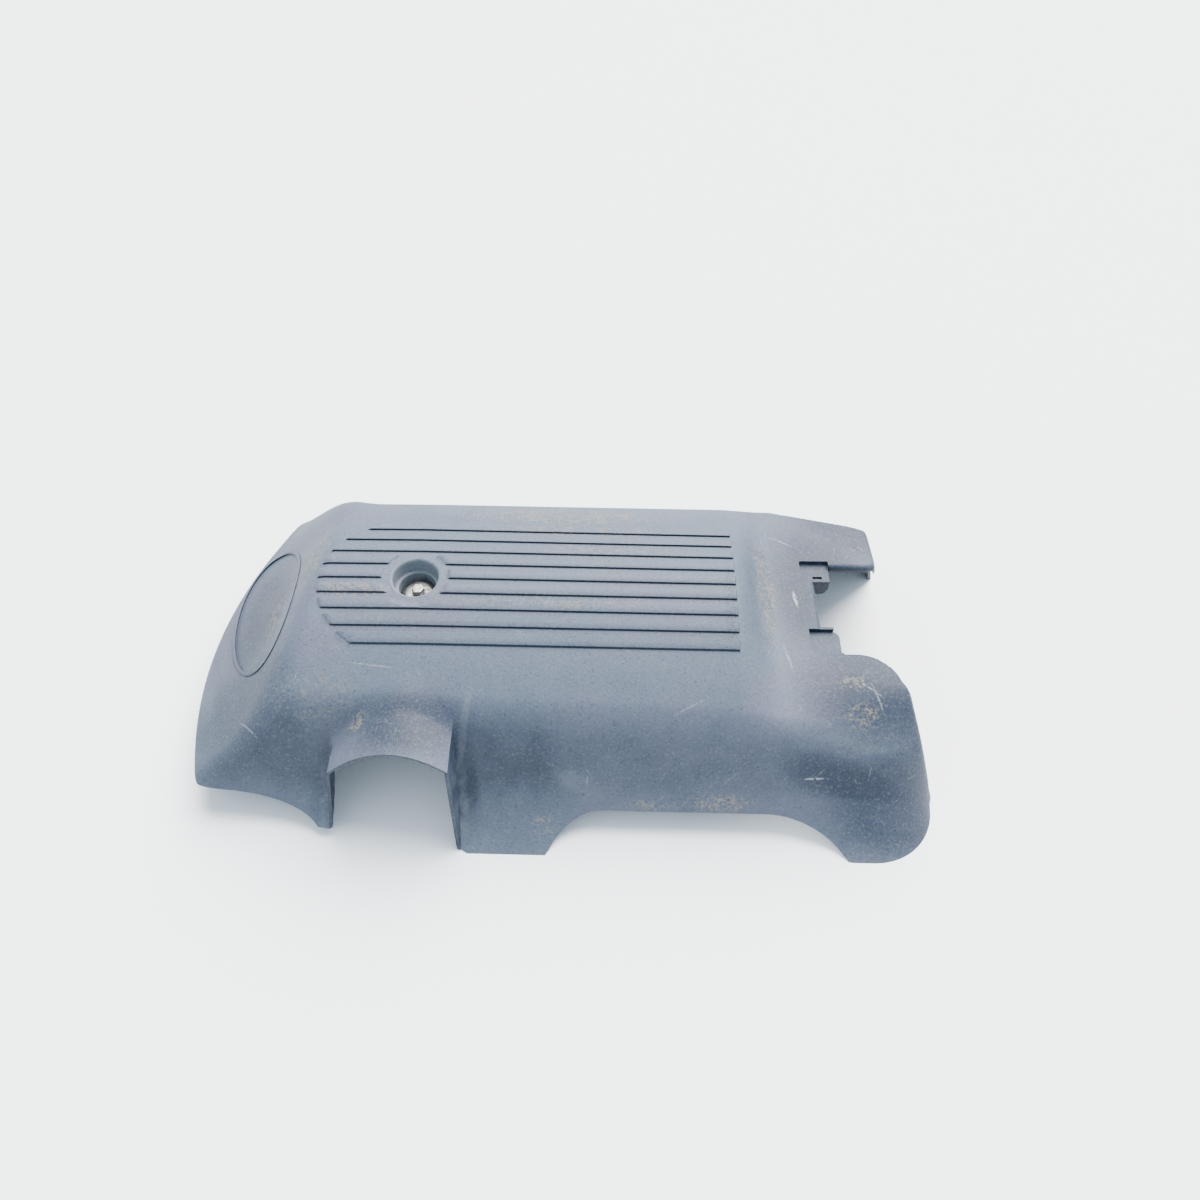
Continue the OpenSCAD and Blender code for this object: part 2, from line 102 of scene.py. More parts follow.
@dataclass(frozen=True)
class Skin:
    """The outer skin of the moulding as a height over the plan."""

    crown_h: float = 140.0
    crown_r: float = 221.0
    crown_fall: float = 0.018
    half_w: float = 204.0
    near_flare: float = 0.0145
    foot_slope: float = 0.45
    foot_curve: float = 0.0093
    shoulder_soft: float = 9.0
    near_soft: float = 44.0
    near_soft_rear: float = 16.0
    near_run: float = 60.0
    wall_slope: float = 2.5
    wall_from: float = 33.0
    wall_soft: float = 14.0
    nose_reach: float = 218.0
    nose_r: float = 364.0
    nose_side: float = -42.0
    hood_h: float = 34.0
    hood_slope: float = 0.476
    hood_curve: float = 0.0034
    hood_soft: float = 22.0
    bulge_h: float = 8.5
    bulge_x: float = -113.0
    bulge_y: float = 124.0
    bulge_r: float = 62.0
    nose_slope: float = 4.0
    nose_soft: float = 8.0
    step_from: float = 286.0
    step_run: float = 44.0
    deck_h: float = 102.0
    deck_fall: float = 16.0
    deck_level: float = 60.0
    deck_tilt: float = 28.0
    tilt_from: float = 85.0
    tilt_run: float = 75.0
    rear_reach: float = 466.0
    rear_skew: float = 0.05
    rear_slope: float = 3.1
    rear_soft: float = 10.0
    corner_r: float = 60.0
    corner_past: float = 4.0
    far_from: float = 335.0
    far_taper: float = 0.25
    duct_x: float = -13.5
    duct_h: float = 105.0
    duct_r: float = 69.0
    duct_half: float = 58.5
    duct_front_slope: float = 10.0
    duct_rear_slope: float = 26.0
    duct_roof_shift: float = 12.0
    duct_soft: float = 8.0
    duct_none: float = -400.0
    duct_lip_y: float = 164.5
    duct_rise: float = 0.08
    duct_root_r: float = 38.0
    duct_root_from: float = 6.0
    duct_root_run: float = 48.0
    duct_root_soft: float = 13.0

    def crown(self, x: np.ndarray, y: np.ndarray) -> np.ndarray:
        """Return the height of the crown."""
        return self.crown_h - y ** 2 / (2 * self.crown_r) - self.crown_fall * np.maximum(x, 0)

    def top(self, x: np.ndarray, y: np.ndarray) -> np.ndarray:
        """Return the crown and the deck behind its step."""
        s = ease((x - self.step_from) / self.step_run)
        crown = self.crown(x, y)
        deck = self.deck_h - self.deck_fall * (np.maximum(np.abs(y) - self.deck_level, 0) / 100) ** 2
        run = np.maximum(x - self.step_from - self.step_run, 0) / 100
        tilt = self.deck_tilt * run * ease((np.abs(y) - self.tilt_from) / self.tilt_run)
        deck = deck - np.where(y < 0, tilt, 0)
        return crown * (1 - s) + np.minimum(deck, crown) * s

    def side(self, x: np.ndarray, y: np.ndarray) -> np.ndarray:
        """Return the height of the side walls over their curved foot line."""
        c = np.clip(x - (self.rear_reach + self.corner_past - self.corner_r), 0, self.corner_r)
        corner = self.corner_r - np.sqrt(self.corner_r ** 2 - c ** 2)
        near = self.half_w + self.near_flare * x
        far = self.half_w - self.far_taper * np.maximum(x - self.far_from, 0)
        d = np.where(y < 0, near, far) - corner - np.abs(y)
        flare = self.foot_slope * d + np.where(d > 0, self.foot_curve * d * d, 0)
        wall = -soft_min(-flare, -self.wall_slope * (d - self.wall_from), self.wall_soft)
        return np.where(y < 0, wall, flare)

    def nose(self, x: np.ndarray, y: np.ndarray) -> np.ndarray:
        """Return the sloping hood with its short nose wall."""
        d = x + self.nose_reach - (y - self.nose_side) ** 2 / (2 * self.nose_r)
        hood = self.hood_h + self.hood_slope * d + self.hood_curve * d * np.abs(d)
        return soft_min(hood, self.nose_slope * d, self.nose_soft)

    def bulge(self, x: np.ndarray, y: np.ndarray) -> np.ndarray:
        """Return the fullness of the far front corner, which the photograph's outline shows."""
        q = ((x - self.bulge_x) ** 2 + (y - self.bulge_y) ** 2) / self.bulge_r ** 2
        return self.bulge_h * np.maximum(1 - q, 0) ** 2

    def rear(self, x: np.ndarray, y: np.ndarray) -> np.ndarray:
        """Return the leaning rear wall."""
        return self.rear_slope * (self.rear_reach - self.rear_skew * y - x)

    def duct(self, x: np.ndarray, y: np.ndarray) -> np.ndarray:
        """Return the arched duct, which leaves on the near side only."""
        u = np.abs(x - self.duct_x)
        v = x - self.duct_x - self.duct_roof_shift
        depth = y + self.duct_lip_y
        rooted = ease((depth - self.duct_root_from) / self.duct_root_run)
        r = self.duct_r - (self.duct_r - self.duct_root_r) * rooted
        slope = np.where(x < self.duct_x, self.duct_front_slope, self.duct_rear_slope)
        roof = self.duct_h + self.duct_rise * depth - v ** 2 / (2 * r)
        arch = soft_min(roof, slope * (self.duct_half - u), self.duct_soft)
        return np.where(y > -self.deck_level, self.duct_none, arch)

    def shoulder(self, x: np.ndarray, y: np.ndarray) -> np.ndarray:
        """Return the shoulders' blend, wider on the near side and tighter again towards the rear."""
        near = self.near_soft - self.near_soft_rear * ease((x - self.step_from - self.step_run) / 100)
        wide = self.shoulder_soft + (near - self.shoulder_soft) * ease(-y / self.near_run)
        return np.where(y < 0, wide, self.shoulder_soft)

    def height(self, x: np.ndarray, y: np.ndarray) -> np.ndarray:
        """Return the height of the whole skin."""
        x, y = np.broadcast_arrays(np.asarray(x, float), np.asarray(y, float))
        z = soft_min(self.top(x, y), self.side(x, y), self.shoulder(x, y))
        z = soft_min(z, self.nose(x, y), self.hood_soft) + self.bulge(x, y)
        z = soft_min(z, self.rear(x, y), self.rear_soft)
        return -soft_min(-z, -self.duct(x, y), self.duct_root_soft)

    def normal(self, x: np.ndarray, y: np.ndarray) -> np.ndarray:
        """Return unit normals of the skin, pointing out."""
        e = 0.2
        dx = (self.height(x + e, y) - self.height(x - e, y)) / (2 * e)
        dy = (self.height(x, y + e) - self.height(x, y - e)) / (2 * e)
        n = np.stack([-dx, -dy, np.ones_like(dx)], -1)
        return n / np.linalg.norm(n, axis=-1, keepdims=True)


@dataclass(frozen=True)
class Outline:
    """Every edge of the skin: rims, openings, mouth, notch and the hole of the well."""

    skin: Skin
    front_rim_h: float = 33.0
    front_rim_run: float = 100.0
    mouth_reach: float = 196.0
    mouth_lean: float = 0.3
    mouth_turn: float = 5.9
    mouth_flare: float = 0.6
    mouth_front: float = -84.0
    mouth_rear: float = 47.0
    mouth_crisp: float = 2.0
    foot_gap: float = 5.0
    long_from: float = 121.0
    near_long_l: float = 267.5
    far_long_l: float = 200.0
    long_h: float = 24.5
    front_curve: float = 50.0
    rear_curve: float = 75.0
    well_edge_r: float = 23.0
    notch_from: float = 369.0
    far_lobe: float = 45.0
    near_lobe: float = 55.0
    far_lobe_r: float = 14.0
    near_lobe_r: float = 38.0
    lobe_l: float = 66.0
    lobe_w: float = 34.0
    lobe_soft: float = 8.0
    far_wall: float = 180.0
    near_wall: float = 50.0
    wall_gap: float = 2.0
    wall_lap: float = 6.0
    wall_past: float = 60.0
    tab_from: float = 357.0
    tab_l: float = 28.0
    far_tab: Couple = (30.0, 52.0)
    near_tab: Couple = (-55.0, -29.0)
    roll_r: float = 4.5

    @property
    def lobe_end(self) -> float:
        """Rear end of both lobes."""
        return self.notch_from + self.lobe_l

    @property
    def tab_end(self) -> float:
        """Rear end of both tabs."""
        return self.tab_from + self.tab_l

    def rim(self, x: np.ndarray, y: np.ndarray) -> np.ndarray:
        """Return the height of the lower rim, which climbs to the nose and over the openings."""
        foot = self.skin.duct_x - self.skin.duct_half - self.foot_gap
        t = np.clip((x - foot + self.front_rim_run) / self.front_rim_run, 0, 1)
        front = self.front_rim_h * np.sqrt(1 - t ** 2)
        length = np.where(y < 0, self.near_long_l, self.far_long_l)
        u = np.clip((x - self.long_from) / self.front_curve, 0, 1)
        v = np.clip((self.long_from + length - x) / self.rear_curve, 0, 1)
        arch = self.long_h * np.minimum(1 - (1 - u) ** 2, 1 - (1 - v) ** 2)
        return np.maximum(front, arch)

    def lobe(self, x: np.ndarray, y: np.ndarray, edge: float, r: float, wall: float) -> np.ndarray:
        """Return how far a point lies inside one rear lobe or the rear wall beside it.

        Args:
            x: lengthwise place.
            y: sideways place, measured towards this lobe.
            edge: the lobe's edge from the middle line.
            r: plan radius of the lobe's corner.
            wall: sideways run of the rear wall's edge behind the lobe.

        Returns:
            The distance to the edge, positive inside.
        """
        corner = r - np.hypot(np.maximum(x - self.lobe_end + r, 0), np.maximum(edge + r - y, 0))
        start = self.lobe_end + self.wall_gap
        lean = (wall - self.lobe_w) / (self.skin.rear_reach + self.wall_past - start)
        behind = (y - edge - self.lobe_w - lean * (x - start)) / sqrt(1 + lean ** 2)
        behind = np.minimum(behind, x - self.lobe_end + self.wall_lap)
        return -soft_min(-corner, -behind, self.lobe_soft)

    def notch(self, x: np.ndarray, y: np.ndarray) -> np.ndarray:
        """Return how far a point lies inside the edge of the rear notch."""
        far = self.lobe(x, y, self.far_lobe, self.far_lobe_r, self.far_wall)
        near = self.lobe(x, -y, self.near_lobe, self.near_lobe_r, self.near_wall)
        return np.maximum(self.notch_from - x, np.maximum(far, near))

    def roll(self, x: np.ndarray, y: np.ndarray) -> np.ndarray:
        """Return how far the skin rolls down along the notch's edge."""
        short = self.roll_r - np.clip(self.notch(x, y), 0, self.roll_r)
        return self.roll_r - np.sqrt(self.roll_r ** 2 - short ** 2)

    def inside(self, x: np.ndarray, y: np.ndarray, z: np.ndarray) -> np.ndarray:
        """Return a field that is positive where the moulding has material."""
        keep = z - self.rim(x, y)
        mouth = y + self.mouth_reach + tan(radians(self.mouth_turn)) * (x - self.skin.duct_x)
        flare = np.maximum(x - self.mouth_rear, 0) + np.maximum(self.mouth_front - x, 0)
        mouth = mouth - self.mouth_lean * z + self.mouth_flare * flare
        keep = np.where(y < 0, np.minimum(keep, mouth * self.mouth_crisp), keep)
        keep = np.minimum(keep, self.notch(x, y))
        along = np.maximum(self.tab_from - x, x - self.tab_end)
        for low, high in (self.far_tab, self.near_tab):
            keep = np.minimum(keep, np.maximum(along, np.maximum(y - high, low - y)))
        return np.minimum(keep, np.hypot(x, y - BOLT_Y) - self.well_edge_r)


@dataclass
class MeshParts:
    """Vertices in drawing millimetres and faces, gathered piece by piece."""

    points: list[np.ndarray] = field(default_factory=list)
    faces: list[tuple[int, ...]] = field(default_factory=list)
    count: int = 0

    def add(self, points: Iterable[Sequence[float]], faces: Iterable[Sequence[int]]) -> None:
        """Add one surface with its own face numbering."""
        pts = np.asarray(list(points) if not isinstance(points, np.ndarray) else points, float)
        self.faces.extend(tuple(i + self.count for i in f) for f in faces)
        self.points.append(pts)
        self.count += len(pts)

    def add_lathe(self, profile: Sequence[Couple], steps: int, centre: Couple) -> None:
        """Add a closed profile of radius and height, turned round an upright axis.

        Args:
            profile: radius and height pairs, anticlockwise in the half plane.
            steps: divisions round the axis.
            centre: plan place of the axis.
        """
        turns = [2 * pi * k / steps for k in range(steps)]
        rows = [[(centre[0] + r * cos(a), centre[1] + r * sin(a), z) for r, z in profile] for a in turns]
        self.add_rows(rows, closed=True, ring=True)

    def add_slab(self, near: Sequence[Point], far: Sequence[Point], turned: bool = False) -> None:
        """Add a closed slab between two outlines.

        Args:
            near: one outline, anticlockwise as seen from the far one's side.
            far: the other outline, with as many points in the same order.
            turned: whether the faces are turned over, for clockwise outlines.
        """
        n = len(near)
        faces = [tuple(range(n - 1, -1, -1)), tuple(range(n, 2 * n))]
        faces += [(i, (i + 1) % n, n + (i + 1) % n, n + i) for i in range(n)]
        self.add([*near, *far], [f[::-1] for f in faces] if turned else faces)

    def add_prism(self, outline: Sequence[Couple], low: float, high: float) -> None:
        """Add an upright prism over an anticlockwise plan outline."""
        self.add_slab([(x, y, low) for x, y in outline], [(x, y, high) for x, y in outline])

    def add_box(self, x: Couple, y: Couple, z: Couple) -> None:
        """Add an upright box between two places on each axis."""
        self.add_prism([(x[0], y[0]), (x[1], y[0]), (x[1], y[1]), (x[0], y[1])], *z)

    def add_rows(self, rows: Sequence[Sequence[Point]], closed: bool, ring: bool,
                 turned: bool = False) -> None:
        """Add a sheet through rows of as many points each.

        Args:
            rows: the rows, in order.
            closed: whether the last row joins the first.
            ring: whether each row's last point joins its first.
            turned: whether the faces are turned over.
        """
        n, count = len(rows[0]), len(rows)
        faces = [(k * n + i, (k + 1) % count * n + i, (k + 1) % count * n + (i + 1) % n, k * n + (i + 1) % n)
                 for k in range(count if closed else count - 1) for i in range(n if ring else n - 1)]
        if turned:
            faces = [(f[0], *f[:0:-1]) for f in faces]
        self.add([point for row in rows for point in row], faces)

    def join(self, other: "MeshParts") -> None:
        """Add all that another gathering holds."""
        self.add(np.concatenate(other.points), other.faces)

    def build(self, name: str, datum: Datum) -> bpy.types.Object:
        """Write the gathered surfaces as one object, with its place in its mesh."""
        mesh = bpy.data.meshes.new(name)
        mesh.from_pydata(datum.place(np.concatenate(self.points)).tolist(), [], self.faces)
        mesh.validate()
        piece = bpy.data.objects.new(name, mesh)
        bpy.context.scene.collection.objects.link(piece)
        return piece


def smooth_by_angle(piece: bpy.types.Object, degrees: float) -> None:
    """Shade a piece smooth, but keep edges sharper than the angle."""
    piece.data.shade_smooth()
    piece.data.set_sharp_from_angle(angle=radians(degrees))


def settle(piece: bpy.types.Object) -> None:
    """Turn a piece's live modifiers into plain mesh."""
    graph = bpy.context.evaluated_depsgraph_get()
    done = bpy.data.meshes.new_from_object(piece.evaluated_get(graph), depsgraph=graph)
    piece.modifiers.clear()
    old, piece.data = piece.data, done
    done.name = piece.name
    bpy.data.meshes.remove(old)


class Socket:
    """An output socket that takes arithmetic."""

    def __init__(self, sheet: "NodeSheet", out: bpy.types.NodeSocket) -> None:
        """Keep the sheet and the socket."""
        self.sheet = sheet
        self.out = out

    def math(self, operation: str, *values: Any) -> "Socket":
        """Add one Math node on this socket and the given values."""
        return self.sheet.node("ShaderNodeMath", {"operation": operation}, dict(enumerate((self, *values))))

    def __add__(self, other: Any) -> "Socket":
        """Add."""
        return self.math("ADD", other)

    __radd__ = __add__

    def __mul__(self, other: Any) -> "Socket":
        """Multiply."""
        return self.math("MULTIPLY", other)

    __rmul__ = __mul__

    def __sub__(self, other: Any) -> "Socket":
        """Subtract."""
        return self.math("SUBTRACT", other)

    def __rsub__(self, other: Any) -> "Socket":
        """Subtract from a number."""
        return self.sheet.node("ShaderNodeMath", {"operation": "SUBTRACT"}, {0: other, 1: self})

    def __truediv__(self, other: Any) -> "Socket":
        """Divide."""
        return self.math("DIVIDE", other)

    def __abs__(self) -> "Socket":
        """Take the size."""
        return self.math("ABSOLUTE")

    def rise(self, run: float) -> "Socket":
        """Rise straight from 0 at 0 to 1 at the run in mm, and stay there."""
        return (self / (run * MM)).math("MINIMUM", 1.0).math("MAXIMUM", 0.0)

    def ramp(self, start: float, end: float) -> "Socket":
        """Rise softly from 0 at the start to 1 at the end."""
        return self.sheet.node("ShaderNodeMapRange", {"interpolation_type": "SMOOTHSTEP"},
                               {"Value": self, "From Min": start, "From Max": end})

    def drop(self, start: float, end: float) -> "Socket":
        """Fall softly from 1 at the start to 0 at the end."""
        return self.sheet.node("ShaderNodeMapRange", {"interpolation_type": "SMOOTHSTEP"},
                               {"Value": self, "From Min": start, "From Max": end,
                                "To Min": 1.0, "To Max": 0.0})


class NodeSheet:
    """Adds nodes to a shader or geometry tree."""

    def __init__(self, tree: bpy.types.NodeTree) -> None:
        """Keep the tree."""
        self.tree = tree

    def node(self, kind: str, settings: dict[str, Any] | None = None, inputs: dict[Any, Any] | None = None,
             out: int | str = 0) -> Socket:
        """Add a node.

        Args:
            kind: Blender's name of the node's type.
            settings: properties, which are set first.
            inputs: values or sockets by the input's name or number.
            out: name or number of the output that is wanted.

        Returns:
            The wanted output.
        """
        made = self.tree.nodes.new(kind)
        for name, value in (settings or {}).items():
            setattr(made, name, value)
        for name, value in (inputs or {}).items():
            if isinstance(value, Socket):
                self.tree.links.new(value.out, made.inputs[name])
            else:
                made.inputs[name].default_value = value
        return Socket(self, made.outputs[out] if made.outputs else None)

    def mix(self, factor: Any, a: Any, b: Any) -> Socket:
        """Mix two colours."""
        return self.node("ShaderNodeMix", {"data_type": "RGBA"}, {0: factor, 6: a, 7: b}, 2)

    def noise(self, place: Socket, grain: Grain) -> Socket:
        """Return a noise value on a place, for a grain of scale, detail and roughness."""
        scale, detail, rough = grain
        return self.node("ShaderNodeTexNoise", None,
                         {"Vector": place, "Scale": scale, "Detail": detail, "Roughness": rough}, 0)

    def split(self, vector: Socket) -> tuple[Socket, Socket, Socket]:
        """Return the three parts of a vector."""
        made = self.node("ShaderNodeSeparateXYZ", None, {0: vector})
        outs = made.out.node.outputs
        return Socket(self, outs[0]), Socket(self, outs[1]), Socket(self, outs[2])


class Finish:
    """A named material built on one Principled shader."""

    def __init__(self, name: str) -> None:
        """Start the material with a bare shader."""
        self.material = bpy.data.materials.new(name)
        self.material.use_nodes = True
        tree = self.material.node_tree
        tree.nodes.clear()
        self.sheet = NodeSheet(tree)
        self.shader = tree.nodes.new("ShaderNodeBsdfPrincipled")
        output = tree.nodes.new("ShaderNodeOutputMaterial")
        tree.links.new(self.shader.outputs[0], output.inputs[0])
        self.place = self.sheet.node("ShaderNodeTexCoord", out="Object")

    def feed(self, **inputs: Any) -> None:
        """Set or link sockets of the shader, named with underscores for spaces."""
        for name, value in inputs.items():
            socket = self.shader.inputs[name.replace("_", " ")]
            if isinstance(value, Socket):
                self.sheet.tree.links.new(value.out, socket)
            else:
                socket.default_value = value

    def bump(self, height: Socket, distance: float, strength: float = 1.0,
             under: Socket | None = None) -> Socket:
        """Return a normal bumped by a height, over an earlier bump."""
        inputs = {"Height": height, "Distance": distance, "Strength": strength}
        if under is not None:
            inputs["Normal"] = under
        return self.sheet.node("ShaderNodeBump", None, inputs)


@dataclass(frozen=True)
class Patch:
    """A soft-edged patch on the plan, in drawing millimetres."""

    x: float
    y: float
    half_x: float
    half_y: float
    strength: float = 1.0
    turn: float = 0.0

    def mask(self, sheet: NodeSheet, place: Socket, datum: Datum) -> Socket:
        """Return the patch's strength at a place.

        Args:
            sheet: sheet of the material.
            place: place in the row frame, in metres.
            datum: the drawing's origin.

        Returns:
            A value that falls from the strength in the middle to 0 at the patch's edge.
        """
        middle = (datum.x + self.x * MM, datum.y + self.y * MM, 0.0)
        local = sheet.node("ShaderNodeMapping", {"vector_type": "TEXTURE"},
                           {"Vector": place, "Location": middle, "Rotation": (0.0, 0.0, radians(self.turn)),
                            "Scale": (self.half_x * MM, self.half_y * MM, 1.0e5)})
        ball = sheet.node("ShaderNodeTexGradient", {"gradient_type": "SPHERICAL"}, {"Vector": local}, 1)
        return ball.ramp(0.0, 0.7) * self.strength


@dataclass(frozen=True)
class MouldedPlastic:
    """Grained black moulding, faded to grey-blue, with dust, specks, scuffs, hairlines and painted light and
    shade.
    """

    # The shade tone is painted shade on walls and in shade patches; the faded tone is painted lighter where
    # it faces up.
    shade: Colour = (0.010, 0.018, 0.035, 1.0)
    bleached_and_lit: Colour = (0.068, 0.087, 0.120, 1.0)
    lavender: Colour = (0.074, 0.080, 0.116, 1.0)
    pale: Colour = (0.112, 0.134, 0.160, 1.0)
    # Dark flecks in the grain and pits, and painted shade along the bars' near edges.
    grime_and_shade: Colour = (0.006, 0.009, 0.015, 1.0)
    dust: Colour = (0.155, 0.140, 0.118, 1.0)
    scuff: Colour = (0.30, 0.31, 0.32, 1.0)
    well_dust: Colour = (0.180, 0.205, 0.230, 1.0)
    dust_patches: tuple[Patch, ...] = (
        Patch(125, 92, 130, 22, 0.9), Patch(150, 62, 120, 14, 0.5), Patch(-104, 35, 26, 66, 0.8),
        Patch(-52, -18, 44, 10, 1.1), Patch(175, 35, 90, 14, 0.6), Patch(130, -28, 120, 12, 0.5),
        Patch(320, 8, 13, 84, 1.1), Patch(-40, -129, 13, 8, 1.5, 40.0), Patch(-78, -112, 52, 28, 0.28),
        Patch(272, -169, 40, 7, 1.1), Patch(208, -171, 30, 5, 0.7), Patch(392, -86, 22, 12, 0.75),
        Patch(396, -114, 20, 14, 0.75), Patch(-132, -18, 14, 44, 0.7), Patch(415, 69, 9, 5, 1.1),
        Patch(120, -184, 16, 10, 0.7))
    # Painted shade on the rear wall, duct roof, hood, oval, tab slit and pillar, with a darker tone on the
    # deck and lobes.
    shade_patches: tuple[Patch, ...] = (
        Patch(-150, -100, 74, 66, 0.45), Patch(116, -146, 22, 20, 0.15), Patch(430, -172, 84, 52, 0.5),
        Patch(56, -160, 8, 22, 0.4), Patch(410, -84, 96, 76, 0.65), Patch(372, 20, 66, 120, 0.65),
        Patch(420, 110, 90, 80, 0.65), Patch(2, -138, 66, 40, 0.7), Patch(-154, 8, 44, 104, 0.65),
        Patch(395, -158, 90, 17, 0.7, -8.0), Patch(378, 29, 12, 5, 1.4))
    # Painted highlights on the duct's ridge and flanges, the nose, the far crown edge, the opening's ledge
    # and the deck's crease, and a paler band along the step.
    highlight_and_wear_patches: tuple[Patch, ...] = (
        Patch(146, -157, 34, 9, 0.35, -18.0), Patch(322, 0, 18, 100, 0.5), Patch(372, -134, 66, 6, 0.6, -8.0),
        Patch(50, -130, 5, 34, 0.9, -14.0), Patch(140, 100, 190, 20, 0.4),
        Patch(-205, -60, 14, 90, 0.6, 20.0), Patch(47, -172, 7, 34, 0.8), Patch(-75, -176, 7, 30, 0.8))
    scuffs: tuple[Patch, ...] = (
        Patch(348.5, 6, 2.2, 12, 1.2, 6.0), Patch(340, 78, 24, 0.9, 0.5, -30.0),
        Patch(335, -62, 1.6, 22, 0.35, 12.0), Patch(404, -92, 20, 1.0, 0.45, -35.0),
        Patch(410, -100, 1.2, 18, 0.4, 20.0), Patch(-138, -128, 16, 1.0, 0.4, -40.0),
        Patch(245, -116, 22, 1.0, 0.3, 24.0), Patch(356, -155.6, 16, 0.8, 0.6),
        Patch(-30, -88, 26, 0.8, 0.4, -6.0))
    bar_end_pits: Patch = Patch(283, -25, 8, 62)
    well_patch: Patch = Patch(0, BOLT_Y, 24, 24)
    hairline_turns: tuple[float, ...] = (28.0, -41.0, 76.0)
    hairline_size: Point = (0.022, 0.0011, 0.022)
    broad_grain: Grain = (8.0, 3.0, 0.6)
    cloudy_grain: Grain = (38.0, 5.0, 0.65)
    grit_grain: Grain = (125.0, 4.0, 0.7)
    fine_grain: Grain = (430.0, 3.0, 0.7)
    speck_grain: Grain = (1000.0, 1.0, 0.5)
    pebbles: float = 760.0
    pebble_bump: Couple = (0.00022, 0.5)
    fine_bump: Couple = (0.0004, 0.5)
    cloudy_bump: Couple = (0.0010, 0.3)

    def material(self, datum: Datum, bars: "Bars") -> bpy.types.Material:
        """Build the material.

        Args:
            datum: the drawing's origin.
            bars: the raised bars, whose near edges get painted shade with some soiling.

        Returns:
            The plastic's material.
        """
        finish = Finish("moulded_plastic_grained")
        sheet, place = finish.sheet, finish.place
        cloudy = sheet.noise(place, self.cloudy_grain)
        fine = sheet.noise(place, self.fine_grain)
        speck = sheet.noise(place, self.speck_grain)
        # How far the surface faces up: tops are painted lighter and walls darker from it, and dust settles by
        # it.
        facing_up = sheet.split(sheet.node("ShaderNodeNewGeometry", out="Normal"))[2].ramp(0.28, 0.90)
        base = self.faded(sheet, place, datum, cloudy, facing_up)
        base = sheet.mix(fine.ramp(0.52, 0.74) * 0.40, base, self.pale)
        base = sheet.mix(fine.drop(0.26, 0.44) * 0.55, base, self.grime_and_shade)
        dust = self.spread(sheet, self.dust_patches, place, datum) + facing_up * 0.10
        grit = sheet.noise(place, self.grit_grain) * 0.4 + fine * 0.6
        broken = dust * grit.ramp(0.46, 0.64) * 1.2 + speck.ramp(0.70, 0.76) * facing_up * 0.5
        base = sheet.mix(broken.math("MINIMUM", 0.8), base, self.dust)
        line = self.spread(sheet, self.scuffs, place, datum) * fine.ramp(0.38, 0.54)
        for turn in self.hairline_turns:
            line = line.math("MAXIMUM", self.hairlines(sheet, place, turn) * cloudy.ramp(0.45, 0.6))
        base = sheet.mix(line.math("MINIMUM", 0.9), base, self.scuff)
        x, y, _ = sheet.split(place)
        # Painted shade along the bars' near edges, and dark pits at their rear ends.
        edge_shade = bars.near_edges(x - datum.x, y - datum.y)
        pits = self.bar_end_pits.mask(sheet, place, datum) * speck.ramp(0.54, 0.60)
        base = sheet.mix((edge_shade * 0.6).math("MAXIMUM", pits * 0.75), base, self.grime_and_shade)
        grain = sheet.node("ShaderNodeTexVoronoi", {"feature": "SMOOTH_F1"},
                           {"Vector": place, "Scale": self.pebbles})
        normal = finish.bump(grain, *self.pebble_bump)
        normal = finish.bump(fine, *self.fine_bump, normal)
        normal = finish.bump(cloudy, *self.cloudy_bump, normal)
        rough = 0.56 + (cloudy - 0.5) * 0.2 + dust * 0.1 + edge_shade * 0.3
        finish.feed(Base_Color=base, Roughness=rough.math("MINIMUM", 0.95), Normal=normal,
                    Specular_IOR_Level=0.26)
        return finish.material

    def faded(self, sheet: NodeSheet, place: Socket, datum: Datum, cloudy: Socket,
              facing_up: Socket) -> Socket:
        """Return the plastic's colour, with painted light and shade, and dust in the well.

        Args:
            sheet: sheet of the material.
            place: place in the row frame, in metres.
            datum: the drawing's origin.
            cloudy: middling noise.
            facing_up: 1 where the surface faces up and 0 where it stands.

        Returns:
            The colour before its grain, dust and scratches.
        """
        broad = sheet.noise(place, self.broad_grain)
        shade_mask = self.spread(sheet, self.shade_patches, place, datum)
        pale = self.spread(sheet, self.highlight_and_wear_patches, place, datum)
        well = self.well_patch.mask(sheet, place, datum).ramp(0.0, 0.1)
        # Painted light and shade: faces that look up lean to the lit tone and walls to the shade tone, over
        # random tone.
        level = facing_up * 0.85 + (cloudy - 0.5) * 0.7 + (broad - 0.5) * 0.5 - shade_mask * 0.2 + 0.17
        base = sheet.mix(level.ramp(-0.12, 1.15), self.shade, self.bleached_and_lit)
        base = sheet.mix(broad.ramp(0.46, 0.62) * facing_up * 0.8, base, self.lavender)
        # Painted highlights from the highlight patches, with the step's paler band.
        base = sheet.mix((pale * cloudy.ramp(0.3, 0.62) * 0.8).math("MINIMUM", 0.9), base, self.pale)
        # Painted shade: the shade patches pull the colour down to the shade tone.
        base = sheet.mix((shade_mask * 1.15).math("MINIMUM", 0.85), base, self.shade)
        return sheet.mix(well * cloudy.ramp(0.25, 0.5) * 0.8, base, self.well_dust)

    def hairlines(self, sheet: NodeSheet, place: Socket, turn: float) -> Socket:
        """Return faint thin scratches that run at an angle over the plan."""
        along = sheet.node("ShaderNodeMapping", {"vector_type": "TEXTURE"},
                           {"Vector": place, "Rotation": (0.0, 0.0, radians(turn)),
                            "Scale": self.hairline_size})
        return sheet.noise(along, (1.0, 1.0, 0.4)).ramp(0.72, 0.84) * 0.40

    @staticmethod
    def spread(sheet: NodeSheet, patches: Sequence[Patch], place: Socket, datum: Datum) -> Socket:
        """Return the strongest of several patches at a place."""
        total = patches[0].mask(sheet, place, datum)
        for patch in patches[1:]:
            total = total.math("MAXIMUM", patch.mask(sheet, place, datum))
        return total


